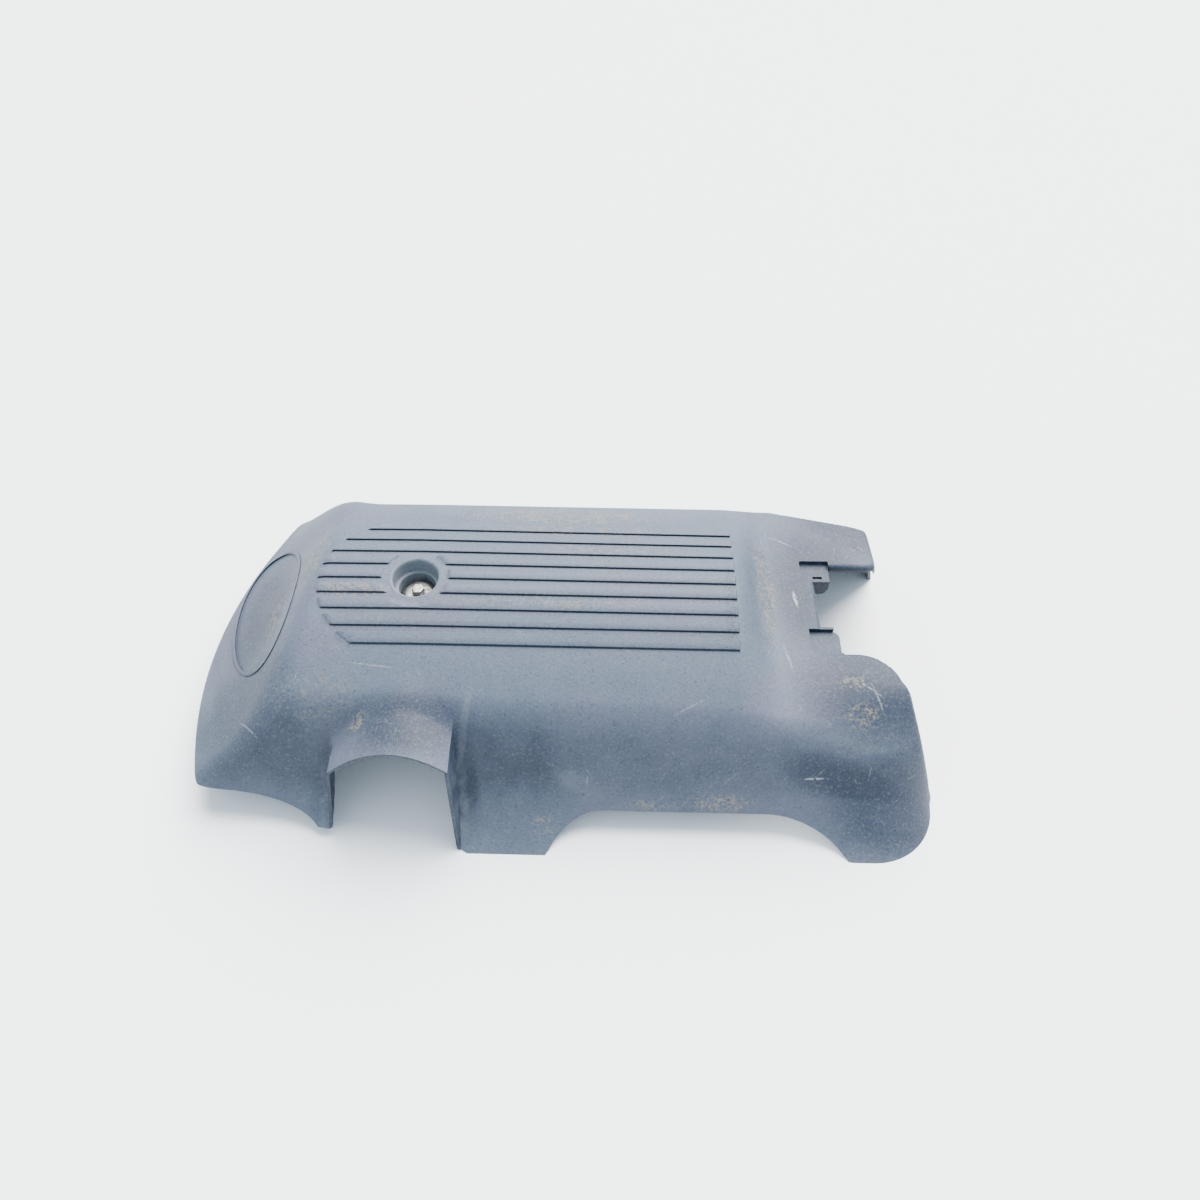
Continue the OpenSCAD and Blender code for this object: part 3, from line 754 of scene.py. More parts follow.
@dataclass(frozen=True)
class DullSteel:
    """Zinc-plated steel, dulled and a little stained."""

    name: str
    bright: Colour = (0.27, 0.27, 0.26, 1.0)
    stained: Colour = (0.12, 0.11, 0.10, 1.0)
    pitted: Colour = (0.16, 0.14, 0.12, 1.0)
    rough: float = 0.38
    blotch_grain: Grain = (260.0, 4.0, 0.6)
    pit_grain: Grain = (1500.0, 3.0, 0.6)
    pit_bump: Couple = (0.00008, 0.5)

    def material(self) -> bpy.types.Material:
        """Build the material."""
        finish = Finish(self.name)
        sheet, place = finish.sheet, finish.place
        blotch = sheet.noise(place, self.blotch_grain)
        pits = sheet.noise(place, self.pit_grain)
        base = sheet.mix(blotch.ramp(0.45, 0.72) * 0.7, self.bright, self.stained)
        base = sheet.mix(pits.drop(0.30, 0.42) * 0.5, base, self.pitted)
        finish.feed(Base_Color=base, Metallic=0.9, Normal=finish.bump(pits, *self.pit_bump),
                    Roughness=self.rough + blotch.ramp(0.4, 0.7) * 0.25)
        return finish.material


@dataclass(frozen=True)
class BlackRubber:
    """Matt rubber with a bloom on it."""

    black: Colour = (0.018, 0.019, 0.021, 1.0)
    bloomed: Colour = (0.085, 0.088, 0.092, 1.0)
    bloom_grain: Grain = (320.0, 4.0, 0.6)
    skin_grain: Grain = (1800.0, 2.0, 0.5)
    skin_bump: Couple = (0.0001, 0.5)

    def material(self) -> bpy.types.Material:
        """Build the material."""
        finish = Finish("grommet_rubber_bloomed")
        sheet, place = finish.sheet, finish.place
        bloom = sheet.noise(place, self.bloom_grain)
        grain = sheet.noise(place, self.skin_grain)
        finish.feed(Base_Color=sheet.mix(bloom.ramp(0.42, 0.7) * 0.6, self.black, self.bloomed),
                    Roughness=0.72 + (bloom - 0.5) * 0.2, Normal=finish.bump(grain, *self.skin_bump))
        return finish.material


@dataclass(frozen=True)
class PaleFloor:
    """Plain pale table under the part."""

    size_m: float = 14.0
    pale: Colour = (0.90, 0.91, 0.92, 1.0)
    paler: Colour = (0.92, 0.925, 0.93, 1.0)
    cloud_grain: Grain = (3.0, 2.0, 0.55)

    def build(self) -> bpy.types.Object:
        """Make the floor as stage."""
        mesh = bpy.data.meshes.new("floor")
        half = self.size_m / 2
        corners = [(-half, -half, 0), (half, -half, 0), (half, half, 0), (-half, half, 0)]
        mesh.from_pydata(corners, [], [(0, 1, 2, 3)])
        floor = bpy.data.objects.new("floor", mesh)
        bpy.context.scene.collection.objects.link(floor)
        finish = Finish("pale_table")
        cloud = finish.sheet.noise(finish.place, self.cloud_grain)
        finish.feed(Base_Color=finish.sheet.mix(cloud, self.pale, self.paler), Roughness=0.8)
        mesh.materials.append(finish.material)
        return floor


@dataclass(frozen=True)
class Bars:
    """Raised bars along the crown, their arc in front and the clear ring round the well."""

    number: int = 9
    pitch: float = 16.25
    width: float = 10.2
    height: float = 2.0
    rear_end: float = 289.0
    arc_x: float = -11.0
    arc_y: float = -4.0
    arc_r: float = 77.0
    clear_r: float = 29.5
    edge: float = 0.7
    edge_fall: float = 0.22
    flank: float = 0.24
    end_run: float = 1.3
    rear_run: float = 0.5
    # Where the painted shade along the bars' near edges starts and ends, in mm.
    shade_from: float = 0.75
    shade_to: float = -0.25

    def edge_stations(self) -> list[float]:
        """Return the sideways stations that carry the bars' crisp edges."""
        places: list[float] = []
        for i in range(self.number):
            middle = self.pitch * (i - (self.number - 1) / 2)
            for side in (-1, 1):
                line = middle + side * self.width / 2
                foot = side * self.flank / 2
                places += [line - side * self.edge, line - foot, line + foot]
            places.append(middle)
        return places

    def extent(self, x: Socket, y: Socket, pitch: Any, rear: Any, arc: Any, clear: Any) -> Socket:
        """Return 1 where the bars stand and 0 past their ends.

        Args:
            x: lengthwise place from the bolt, in metres.
            y: sideways place from the middle line, in metres.
            pitch: distance between the bars' middles, in metres.
            rear: lengthwise place of their rear ends, in metres.
            arc: radius of the arc in front, in metres.
            clear: radius of the clear ring round the well, in metres.

        Returns:
            The mask, before the bars are told from the grooves.
        """
        sides = (pitch * (self.number / 2) - abs(y)).math("GREATER_THAN", 0.0)
        dx, dy = x - self.arc_x * MM, y - self.arc_y * MM
        ahead = (arc - (dx * dx + dy * dy).math("SQRT")).rise(self.end_run)
        ahead = ahead.math("MAXIMUM", dx.math("GREATER_THAN", 0.0))
        by = y - BOLT_Y * MM
        ring = ((x * x + by * by).math("SQRT") - clear).rise(self.end_run)
        return sides * (rear - x).rise(self.rear_run) * ahead * ring

    def stand(self, across: Socket, half: Any) -> Socket:
        """Return 1 on a bar and 0 beside it, with a steep flank, from the place across it in metres."""
        return (half + self.flank / 2 * MM - across).rise(self.flank)

    def crest(self, x: Socket, y: Socket) -> Socket:
        """Return 1 on the bars and 0 between and past them."""
        pitch = self.pitch * MM
        across = abs(y - (y / pitch).math("ROUND") * pitch)
        inside = self.extent(x, y, pitch, self.rear_end * MM, self.arc_r * MM, self.clear_r * MM)
        return self.stand(across, self.width / 2 * MM) * inside

    def near_edges(self, x: Socket, y: Socket) -> Socket:
        """Return a thin line along each edge that faces the near side, for the painted shade laid there."""
        line = self.crest(x, y + self.shade_from * MM) - self.crest(x, y + self.shade_to * MM)
        return line.math("MAXIMUM", 0.0)


class GeometryTree:
    """A Geometry Nodes tree with named inputs, run on a piece and then settled."""

    def __init__(self, name: str) -> None:
        """Start a tree that takes and gives geometry."""
        self.tree = bpy.data.node_groups.new(name, "GeometryNodeTree")
        self.tree.interface.new_socket("Geometry", in_out="INPUT", socket_type="NodeSocketGeometry")
        self.tree.interface.new_socket("Geometry", in_out="OUTPUT", socket_type="NodeSocketGeometry")
        self.sheet = NodeSheet(self.tree)
        self.source = self.tree.nodes.new("NodeGroupInput")
        self.sink = self.tree.nodes.new("NodeGroupOutput")
        self.values: dict[str, float] = {}

    def size(self, name: str, value: float) -> Socket:
        """Add a named size input and return its socket."""
        self.tree.interface.new_socket(name, in_out="INPUT", socket_type="NodeSocketFloat")
        self.values[name] = value
        return Socket(self.sheet, self.source.outputs[name])

    def geometry(self) -> Socket:
        """Return the geometry that comes in."""
        return Socket(self.sheet, self.source.outputs[0])

    def run(self, piece: bpy.types.Object, geometry: Socket, material: bpy.types.Material) -> None:
        """End the tree, run it on a piece and settle the result."""
        real = self.sheet.node("GeometryNodeRealizeInstances", None, {0: geometry})
        dressed = self.sheet.node("GeometryNodeSetMaterial", None, {"Geometry": real, "Material": material})
        self.tree.links.new(dressed.out, self.sink.inputs[0])
        modifier = piece.modifiers.new(self.tree.name, "NODES")
        modifier.node_group = self.tree
        for item in self.tree.interface.items_tree:
            if item.in_out == "INPUT" and item.name in self.values:
                modifier[item.identifier] = self.values[item.name]
        settle(piece)


class TrimmedGrid:
    """A plan grid whose cells are clipped where a field is negative."""

    def __init__(self, xs: np.ndarray, ys: np.ndarray, keep: np.ndarray) -> None:
        """Clip every cell of the grid."""
        self.xs, self.ys, self.keep = xs, ys, keep
        self.plan: list[Couple] = []
        self.faces: list[tuple[int, ...]] = []
        self.known: dict[Any, int] = {}
        for i in range(len(xs) - 1):
            for j in range(len(ys) - 1):
                self.clip_cell(i, j)

    def corner(self, i: int, j: int) -> int:
        """Return the vertex of a grid corner."""
        if (i, j) not in self.known:
            self.known[(i, j)] = len(self.plan)
            self.plan.append((float(self.xs[i]), float(self.ys[j])))
        return self.known[(i, j)]

    def crossing(self, a: tuple[int, int], b: tuple[int, int]) -> int:
        """Return the vertex where the field passes zero between two corners."""
        key = (min(a, b), max(a, b))
        if key not in self.known:
            fa, fb = self.keep[a], self.keep[b]
            t = fa / (fa - fb)
            self.known[key] = len(self.plan)
            self.plan.append((float(self.xs[a[0]] + t * (self.xs[b[0]] - self.xs[a[0]])),
                              float(self.ys[a[1]] + t * (self.ys[b[1]] - self.ys[a[1]]))))
        return self.known[key]

    def clip_cell(self, i: int, j: int) -> None:
        """Add what one cell keeps."""
        corners = [(i, j), (i + 1, j), (i + 1, j + 1), (i, j + 1)]
        values = [self.keep[c] for c in corners]
        if max(values) <= 0:
            return
        if min(values) >= 0:
            self.faces.append(tuple(self.corner(*c) for c in corners))
            return
        ring: list[int] = []
        for k in range(4):
            a, b = corners[k], corners[(k + 1) % 4]
            fa, fb = values[k], values[(k + 1) % 4]
            if fa >= 0:
                ring.append(self.corner(*a))
            if fa * fb < 0:
                ring.append(self.crossing(a, b))
        if len(set(ring)) >= 3:
            self.faces.append(tuple(dict.fromkeys(ring)))

    def rim_edges(self) -> list[tuple[int, int]]:
        """Return the edges that belong to one face only, in that face's order."""
        seen: dict[tuple[int, int], tuple[int, int]] = {}
        for face in self.faces:
            for a, b in zip(face, face[1:] + face[:1]):
                key = (min(a, b), max(a, b))
                if key in seen:
                    del seen[key]
                else:
                    seen[key] = (a, b)
        return list(seen.values())


@dataclass(frozen=True)
class WellForm:
    """Sections of the bolt well, as radius and height pairs. The mouth's heights count from the skin."""

    mouth: tuple[Couple, ...] = (
        (24.6, -0.3), (23.0, 0.0), (22.2, -0.12), (21.4, -0.6), (20.8, -1.5), (20.5, -2.8))
    bore: tuple[Couple, ...] = (
        (20.3, 134.0), (20.1, 126.2), (19.7, 125.3), (19.0, 125.0), (17.5, 125.0), (17.0, 124.5),
        (16.9, 113.2), (16.5, 112.3), (15.8, 112.0), (9.5, 112.0), (9.0, 111.5), (9.0, 109.0),
        (9.4, 108.5), (22.9, 108.5), (23.5, 109.1), (23.5, 128.0))
    root: float = 1.5
    steps: int = 96
    webs: int = 4
    web: tuple[tuple[float, float | None], ...] = (
        (22.5, 108.5), (25.5, 108.5), (54.0, None), (22.5, None))
    web_half_t: float = 1.0


@dataclass(frozen=True)
class NotchForm:
    """Sizes of the tabs, the ear and the lips at the rear notch."""

    tab_drop: float = 4.5
    ear_w: float = 16.0
    ear_l: float = 16.0
    ear_t: float = 2.5
    ear_steps: int = 20
    slot_end: float = 7.0
    slot_y: Couple = (3.3, 6.3)
    tab_r: float = 7.0
    frame_w: float = 3.0
    frame_top: float = 0.9
    frame_low: float = 0.2
    frame_past: float = 1.0
    gap: float = 0.06
    guard_t: float = 2.5
    guard_h: float = 3.9
    guard_from: float = 2.0
    guard_end: float = 5.0
    lip_from: float = 386.0
    lip_run: float = 33.0
    lip_out: float = 0.2
    lip_in: float = 2.6
    lip_top: float = 4.7
    lip_edge: float = 7.4
    lip_foot: float = 8.2
    lip_root: float = 2.0
    lip_round: float = 0.3


@dataclass(frozen=True)
class OvalForm:
    """The plain oval place on the hood, with the band round it."""

    x: float = -153.0
    y: float = 10.5
    turn: float = 9.0
    length: float = 173.0
    width: float = 76.0
    depth: float = 1.3
    inset: float = 0.5
    run: float = 1.4
    band_w: float = 2.8
    band_h: float = 1.3
    band_root: Couple = (1.4, 2.6)
    steps: int = 220

    def band_section(self) -> list[Couple]:
        """Return the band's section as trims from the oval's edge and heights over the skin."""
        w, h, (outer, inner) = self.band_w, self.band_h, self.band_root
        return [(0.0, -outer), (w, -inner), (w, h - 0.25), (w - 0.25, h), (0.3, h), (0.0, h - 0.3)]


@dataclass
class Cover:
    """The one moulding: skin, wall, bars, badge place, well, tabs, ear and lips."""

    datum: Datum
    skin: Skin = field(default_factory=Skin)
    bars: Bars = field(default_factory=Bars)
    well_form: WellForm = field(default_factory=WellForm)
    notch_form: NotchForm = field(default_factory=NotchForm)
    oval: OvalForm = field(default_factory=OvalForm)
    wall: float = 3.0
    lengthwise: tuple[Run, ...] = (
        (-226, -190, 1.5), (-190, -112, 1.45), (-112, -92, 2.2), (-92, -60, 1.1), (-60, -33, 2.0),
        (-33, 36, 1.7), (36, 52, 0.55), (52, 62, 1.6), (62, 120, 6.0), (120, 175, 4.0), (175, 282, 9.0),
        (290.5, 336, 2.6), (336, 357, 5.0), (357, 364, 3.0), (364.5, 369.5, 1.2), (370, 384, 3.5),
        (384.6, 422, 3.4), (422, 437, 1.6), (437, 482, 2.4))
    sideways: tuple[Run, ...] = (
        (-216, -170, 1.5), (-170, -120, 3.0), (-120, -72, 2.0), (74, 118, 2.2), (118, 170, 4.0),
        (170, 212, 2.0))
    cross_lines: tuple[float, ...] = (285.5, 288.3, 288.9, 289.3, 289.6, 482.0)
    long_lines: tuple[float, ...] = (46.2, 47.4, 48.7, 50.0, -56.2, -57.4, -58.7, 212.0)
    line_gap: float = 0.35
    crease: float = 38.0

    @property
    def outline(self) -> Outline:
        """The skin's edges."""
        return Outline(self.skin)

    def stations(self) -> tuple[np.ndarray, np.ndarray]:
        """Return the lengthwise and sideways lines of the skin's grid, dense where the shape is."""
        xs = np.concatenate([np.arange(*run) for run in self.lengthwise] + [self.cross_lines])
        runs = [np.arange(*run) for run in self.sideways]
        ys = np.concatenate(runs + [self.bars.edge_stations(), self.long_lines])
        edges = self.outline
        marks = [edges.far_lobe, -edges.near_lobe, *edges.far_tab, *edges.near_tab]
        ys = np.array([y for y in ys if min(abs(y - m) for m in marks) > self.line_gap] + marks)
        return np.unique(xs.round(4)), np.unique(ys.round(4))

    def skin_surface(self) -> MeshParts:
        """Return the trimmed skin with its inside and the rims between them."""
        xs, ys = self.stations()
        gx, gy = np.meshgrid(xs, ys, indexing="ij")
        cut = TrimmedGrid(xs, ys, self.outline.inside(gx, gy, self.skin.height(gx, gy)))
        x, y = np.array(cut.plan).T
        outer = np.column_stack([x, y, self.skin.height(x, y) - self.outline.roll(x, y)])
        inner = outer - self.wall * self.skin.normal(x, y)
        n = len(outer)
        both = np.vstack([outer, inner])
        both[:, 2] = np.maximum(both[:, 2], 0.0)
        faces = list(cut.faces)
        faces += [tuple(i + n for i in reversed(f)) for f in cut.faces]
        faces += [(b, a, a + n, b + n) for a, b in cut.rim_edges()]
        parts = MeshParts()
        parts.add(both, faces)
        return parts

    def on_skin(self, x: float, y: float, dz: float) -> Point:
        """Return a point at a height over the skin."""
        return (x, y, float(self.skin.height(x, y)) + dz)

    def well(self) -> MeshParts:
        """Return the bolt well: its rounded mouth, ledge, floor and the boss outside, with its webs."""
        form = self.well_form
        rows: list[list[Point]] = []
        for k in range(form.steps):
            c, s = cos(2 * pi * k / form.steps), sin(2 * pi * k / form.steps)
            row = [self.on_skin(r * c, BOLT_Y + r * s, dz) for r, dz in form.mouth]
            row += [(r * c, BOLT_Y + r * s, z) for r, z in form.bore]
            boss_r = form.bore[-1][0]
            row.append(self.on_skin(boss_r * c, BOLT_Y + boss_r * s, -form.root))
            rows.append(row)
        parts = MeshParts()
        parts.add_rows(rows, closed=True, ring=False)
        for k in range(form.webs):
            self.add_web(parts, radians(45 + 360 / form.webs * k))
        return parts

    def add_web(self, parts: MeshParts, turn: float) -> None:
        """Add one thin web between the boss and the inside of the crown."""
        c, s = cos(turn), sin(turn)
        form = self.well_form
        sides: list[list[Point]] = []
        for side in (-form.web_half_t, form.web_half_t):
            plan = [(r * c - side * s, BOLT_Y + r * s + side * c) for r, _ in form.web]
            sides.append([self.on_skin(x, y, -form.root) if z is None else (x, y, z)
                          for (x, y), (_, z) in zip(plan, form.web)])
        parts.add_slab(*sides, turned=True)

    def notch_parts(self) -> MeshParts:
        """Return the two tabs, their walls, the guide ear, the guard and the lobes' lips."""
        o, form = self.outline, self.notch_form
        parts = MeshParts()
        top = self.skin.deck_h - form.tab_drop
        low = top - self.wall
        x0, x1 = o.tab_from, o.tab_end
        (fy0, fy1), (ny0, ny1) = o.far_tab, o.near_tab
        slot_x = (x1 - form.ear_w, x1 - form.slot_end)
        slot_y = (fy0 + form.slot_y[0], fy0 + form.slot_y[1])
        for x, y in (((x0, x1), (slot_y[1], fy1)), ((x0, x1), (fy0, slot_y[0])),
                     ((x0, slot_x[0]), slot_y), ((slot_x[1], x1), slot_y)):
            parts.add_box(x, y, (low, top))
        r = form.tab_r
        turns = [radians(90 - 7.5 * k) for k in range(13)]
        arc = [(x1 - r + r * sin(a), ny1 - r + r * cos(a)) for a in turns]
        parts.add_prism([(x0, ny0), (x1, ny0), *arc, (x0, ny1)], low, top)
        w, e = form.frame_w, form.gap
        upright = (low + form.frame_low, self.skin.deck_h - form.frame_top)
        long_x, short_x = (x0 - e, x1 + form.frame_past), (x0 - e, o.notch_from - e)
        for x, y in (((x0 - w, x0 - e), (fy0 - w, fy1 + w)), (long_x, (fy1 + e, fy1 + w)),
                     (short_x, (fy0 - w, fy0 - e)), ((x0 - w, x0 - e), (ny0 - w, ny1 + w)),
                     (long_x, (ny0 - w, ny0 - e)), (short_x, (ny1 + e, ny1 + w))):
            parts.add_box(x, y, upright)
        parts.add_box((o.notch_from - form.guard_from, x1 - form.guard_end), (ny1, ny1 + form.guard_t),
                      (low, top + form.guard_h))
        self.add_ear(parts, x1 - form.ear_w, fy0, low + form.frame_low)
        self.add_lip(parts, 1, o.far_lobe, o.far_lobe_r)
        self.add_lip(parts, -1, o.near_lobe, o.near_lobe_r)
        return parts

    def add_ear(self, parts: MeshParts, x: float, y: float, top: float) -> None:
        """Add the rounded guide ear that hangs below the far tab."""
        form = self.notch_form
        r, n = form.ear_w / 2, form.ear_steps
        drop = top - form.ear_l + r
        turns = [-pi * k / n for k in range(n + 1)]
        ring = [(x, top), (x + 2 * r, top)] + [(x + r + r * cos(a), drop + r * sin(a)) for a in turns]
        parts.add_slab([(px, y, z) for px, z in ring], [(px, y + form.ear_t, z) for px, z in ring])

    def add_lip(self, parts: MeshParts, side: int, edge: float, corner: float) -> None:
        """Add the lip that hangs along one rear lobe.

        Args:
            parts: where the lip is added.
            side: 1 for the far lobe, -1 for the near one.
            edge: the lobe's edge from the middle line.
            corner: plan radius of the lobe's corner.
        """
        form, end = self.notch_form, self.outline.lobe_end
        path = [(x, edge) for x in np.linspace(form.lip_from, end - corner, 20)]
        path += [(end - corner + corner * sin(a), edge + corner - corner * cos(a))
                 for a in np.linspace(0, pi / 2, 15)[1:]]
        if form.lip_run > corner:
            path += [(end, y) for y in np.linspace(edge + corner, edge + form.lip_run, 4)[1:]]
        line = np.array(path)
        run = np.gradient(line, axis=0)
        run /= np.linalg.norm(run, axis=1, keepdims=True)
        rows: list[list[Point]] = []
        for (x, y), (rx, ry) in zip(line, run):
            ax, ay = x + form.lip_out * ry, side * (y - form.lip_out * rx)
            bx, by = x - form.lip_in * ry, side * (y + form.lip_in * rx)
            foot = self.on_skin(ax, ay, -form.lip_foot)[2]
            rows.append([self.on_skin(ax, ay, -form.lip_top), self.on_skin(ax, ay, -form.lip_edge),
                         (ax + (bx - ax) * form.lip_round, ay + (by - ay) * form.lip_round, foot),
                         self.on_skin(bx, by, -form.lip_foot), self.on_skin(bx, by, -form.lip_root)])
        n, last = len(rows[0]), len(rows) - 1
        faces = [(k * n + i, k * n + i + 1, (k + 1) * n + i + 1, (k + 1) * n + i)
                 for k in range(last) for i in range(n - 1)]
        faces += [tuple(range(n)), tuple(last * n + i for i in range(n - 1, -1, -1))]
        parts.add([p for row in rows for p in row], faces if side > 0 else [f[::-1] for f in faces])

    def relief(self, piece: bpy.types.Object, material: bpy.types.Material) -> None:
        """Raise the bars and sink the oval's floor with a Geometry Nodes tree."""
        tree = GeometryTree("raised_bars_and_oval")
        sheet = tree.sheet
        x, y, _ = sheet.split(sheet.node("GeometryNodeInputPosition"))
        x = x - tree.size("Bolt place X", self.datum.x)
        y = y - tree.size("Middle line Y", self.datum.y)
        lift = self.bar_lift(tree, x, y) + self.oval_lift(tree, x, y)
        outer = sheet.node("GeometryNodeInputNamedAttribute", {"data_type": "FLOAT"}, {"Name": "outer"})
        offset = sheet.node("ShaderNodeCombineXYZ", None, {2: lift * outer})
        moved = sheet.node("GeometryNodeSetPosition", None, {"Geometry": tree.geometry(), "Offset": offset})
        tree.run(piece, moved, material)

    def bar_lift(self, tree: GeometryTree, x: Socket, y: Socket) -> Socket:
        """Return the height of the bars over the skin at a place."""
        bars = self.bars
        pitch = tree.size("Bar pitch", bars.pitch * MM)
        half = tree.size("Bar width", bars.width * MM) * 0.5
        height = tree.size("Bar height", bars.height * MM)
        rear = tree.size("Rear end", bars.rear_end * MM)
        arc = tree.size("Arc radius", bars.arc_r * MM)
        clear = tree.size("Clear radius", bars.clear_r * MM)
        across = abs(y - (y / pitch).math("ROUND") * pitch)
        crest = 1.0 - (across - (half - bars.edge * MM)).ramp(0.0, bars.edge * MM) * bars.edge_fall
        return bars.stand(across, half) * crest * height * bars.extent(x, y, pitch, rear, arc, clear)

    def oval_lift(self, tree: GeometryTree, x: Socket, y: Socket) -> Socket:
        """Return how far the oval's floor lies below the hood at a place."""
        oval = self.oval
        c, s = cos(radians(oval.turn)), sin(radians(oval.turn))
        dx, dy = x - oval.x * MM, y - oval.y * MM
        u, v = dx * c + dy * s, dy * c - dx * s
        depth = tree.size("Oval depth", oval.depth * MM)
        a, b = (oval.width / 2 - oval.inset) * MM, (oval.length / 2 - oval.inset) * MM
        r = ((u / a) * (u / a) + (v / b) * (v / b)).math("SQRT")
        return ((1.0 - r) * a).rise(oval.run) * depth * -1.0

    def oval_band(self) -> MeshParts:
        """Return the crisp raised band round the oval, rooted in the hood."""
        oval = self.oval
        c, s = cos(radians(oval.turn)), sin(radians(oval.turn))
        rows: list[list[Point]] = []
        for k in range(oval.steps):
            ca, sa = cos(2 * pi * k / oval.steps), sin(2 * pi * k / oval.steps)
            row = []
            for trim, dz in oval.band_section():
                u, v = (oval.width / 2 - trim) * ca, (oval.length / 2 - trim) * sa
                row.append(self.on_skin(oval.x + u * c - v * s, oval.y + u * s + v * c, dz))
            rows.append(row)
        parts = MeshParts()
        parts.add_rows(rows, closed=True, ring=True, turned=True)
        return parts

    def build(self, material: bpy.types.Material) -> bpy.types.Object:
        """Make the whole moulding as one piece.

        Args:
            material: the moulded plastic.

        Returns:
            The piece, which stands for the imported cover.
        """
        parts = self.skin_surface()
        lifted = len(parts.points[0]) // 2
        for other in (self.well(), self.notch_parts(), self.oval_band()):
            parts.join(other)
        piece = parts.build("cover_moulding", self.datum)
        outer = piece.data.attributes.new("outer", "FLOAT", "POINT")
        flags = np.zeros(len(piece.data.vertices), np.float32)
        flags[:lifted] = 1.0
        outer.data.foreach_set("value", flags)
        self.relief(piece, material)
        smooth_by_angle(piece, self.crease)
        return piece


@dataclass(frozen=True)
class Fixing:
    """The bolt and the pieces stacked on its axis in the well."""

    datum: Datum
    axis: Couple = (0.0, BOLT_Y)
    floor_z: float = 112.0
    floor_t: float = 3.5
    foot_h: float = 4.0
    seat_z: float = 116.0
    washer_t: float = 1.6
    across_flats: float = 10.0
    head_h: float = 6.0
    head_steps: int = 36
    head_dish: float = 0.9
    bolt_l: float = 50.0
    shank_r: float = 2.65
    shank_steps: int = 40
    thread_l: float = 18.0
    thread_r: float = 3.0
    thread_depth: float = 0.55
    thread_end: float = 0.6
    pitch: float = 1.0
    ridge_in: float = 0.48
    ridge_r: float = 0.46
    bolt_crease: float = 35.0
    ring_crease: float = 40.0

    def bolt(self, material: bpy.types.Material) -> bpy.types.Object:
        """Make the hex-headed bolt with a rolled thread."""
        seat = self.seat_z + self.washer_t
        low, end = seat - self.bolt_l, self.thread_end
        core, root = self.thread_r - self.thread_depth, seat + 0.4
        profile = [(0.0, low), (core - 0.5, low), (core, low + end), (core, low + self.thread_l - end),
                   (self.shank_r, low + self.thread_l), (self.shank_r, root), (0.0, root)]
        parts = MeshParts()
        parts.add_lathe(profile, self.shank_steps, self.axis)
        self.add_head(parts, seat)
        piece = parts.build("bolt_hex_head", self.datum)
        tree = GeometryTree("rolled_thread")
        sheet = tree.sheet
        place = self.datum.place(np.array([[*self.axis, low + end]]))[0]
        moved = sheet.node("GeometryNodeTransform", None,
                           {"Geometry": self.thread(tree), "Translation": tuple(place)})
        joined = sheet.node("GeometryNodeJoinGeometry", None, {0: moved})
        sheet.tree.links.new(tree.geometry().out, joined.out.node.inputs[0])
        tree.run(piece, joined, material)
        smooth_by_angle(piece, self.bolt_crease)
        return piece

    def add_head(self, parts: MeshParts, seat: float) -> None:
        """Add the hexagonal head over its seat, chamfered and dished on top."""
        corner, h, n = self.across_flats / 2 / cos(pi / 6), self.head_h, self.head_steps
        rise = [(0.965, 0.02), (1.0, 0.35), (1.0, h - 0.9), (0.93, h - 0.12), (0.86, h), (0.62, h),
                (0.56, h - 0.35), (0.0, h - 0.45)]
        points = []
        for scale, z in rise:
            for k in range(n):
                a = 2 * pi * k / n
                flat = cos(pi / 6) / cos((a % (pi / 3)) - pi / 6)
                r = corner * scale * (flat if scale > self.head_dish else min(flat, self.head_dish))
                points.append((self.axis[0] + r * cos(a), self.axis[1] + r * sin(a), seat + z))
        faces = [(i * n + k, i * n + (k + 1) % n, (i + 1) * n + (k + 1) % n, (i + 1) * n + k)
                 for i in range(len(rise) - 1) for k in range(n)]
        faces.append(tuple(range(n - 1, -1, -1)))
        parts.add(points, faces)

    def thread(self, tree: GeometryTree) -> Socket:
        """Return the thread's ridge, a spiral that starts at the origin."""
        sheet = tree.sheet
        run = tree.size("Threaded length", (self.thread_l - 2 * self.thread_end) * MM)
        pitch = tree.size("Pitch", self.pitch * MM)
        radius = tree.size("Crest radius", (self.thread_r - self.ridge_in) * MM)
        spiral = sheet.node("GeometryNodeCurveSpiral", None,
                            {"Resolution": 28, "Rotations": run / pitch, "Start Radius": radius,
                             "End Radius": radius, "Height": run})
        ridge = sheet.node("GeometryNodeCurvePrimitiveCircle", None,
                           {"Resolution": 4, "Radius": self.ridge_r * MM})
        return sheet.node("GeometryNodeCurveToMesh", None,
                          {"Curve": spiral, "Profile Curve": ridge, "Fill Caps": True})

    def ring(self, name: str, profile: Sequence[Couple], material: bpy.types.Material,
             steps: int = 72) -> bpy.types.Object:
        """Make one turned ring of the stack.

        Args:
            name: the piece's name.
            profile: closed radius and height pairs, anticlockwise.
            material: its finish.
            steps: divisions round the axis.

        Returns:
            The piece.
        """
        parts = MeshParts()
        parts.add_lathe(profile, steps, self.axis)
        piece = parts.build(name, self.datum)
        piece.data.materials.append(material)
        smooth_by_angle(piece, self.ring_crease)
        return piece

    def washer(self, material: bpy.types.Material) -> bpy.types.Object:
        """Make the punched washer, with its rolled upper edge."""
        a, b = self.seat_z, self.seat_z + self.washer_t
        profile = [(3.3, a + 0.1), (3.4, a), (12.1, a), (12.35, a + 0.2), (12.35, b - 0.5),
                   (12.2, b - 0.18), (11.85, b), (3.6, b), (3.3, b - 0.2)]
        return self.ring("washer_punched", profile, material)

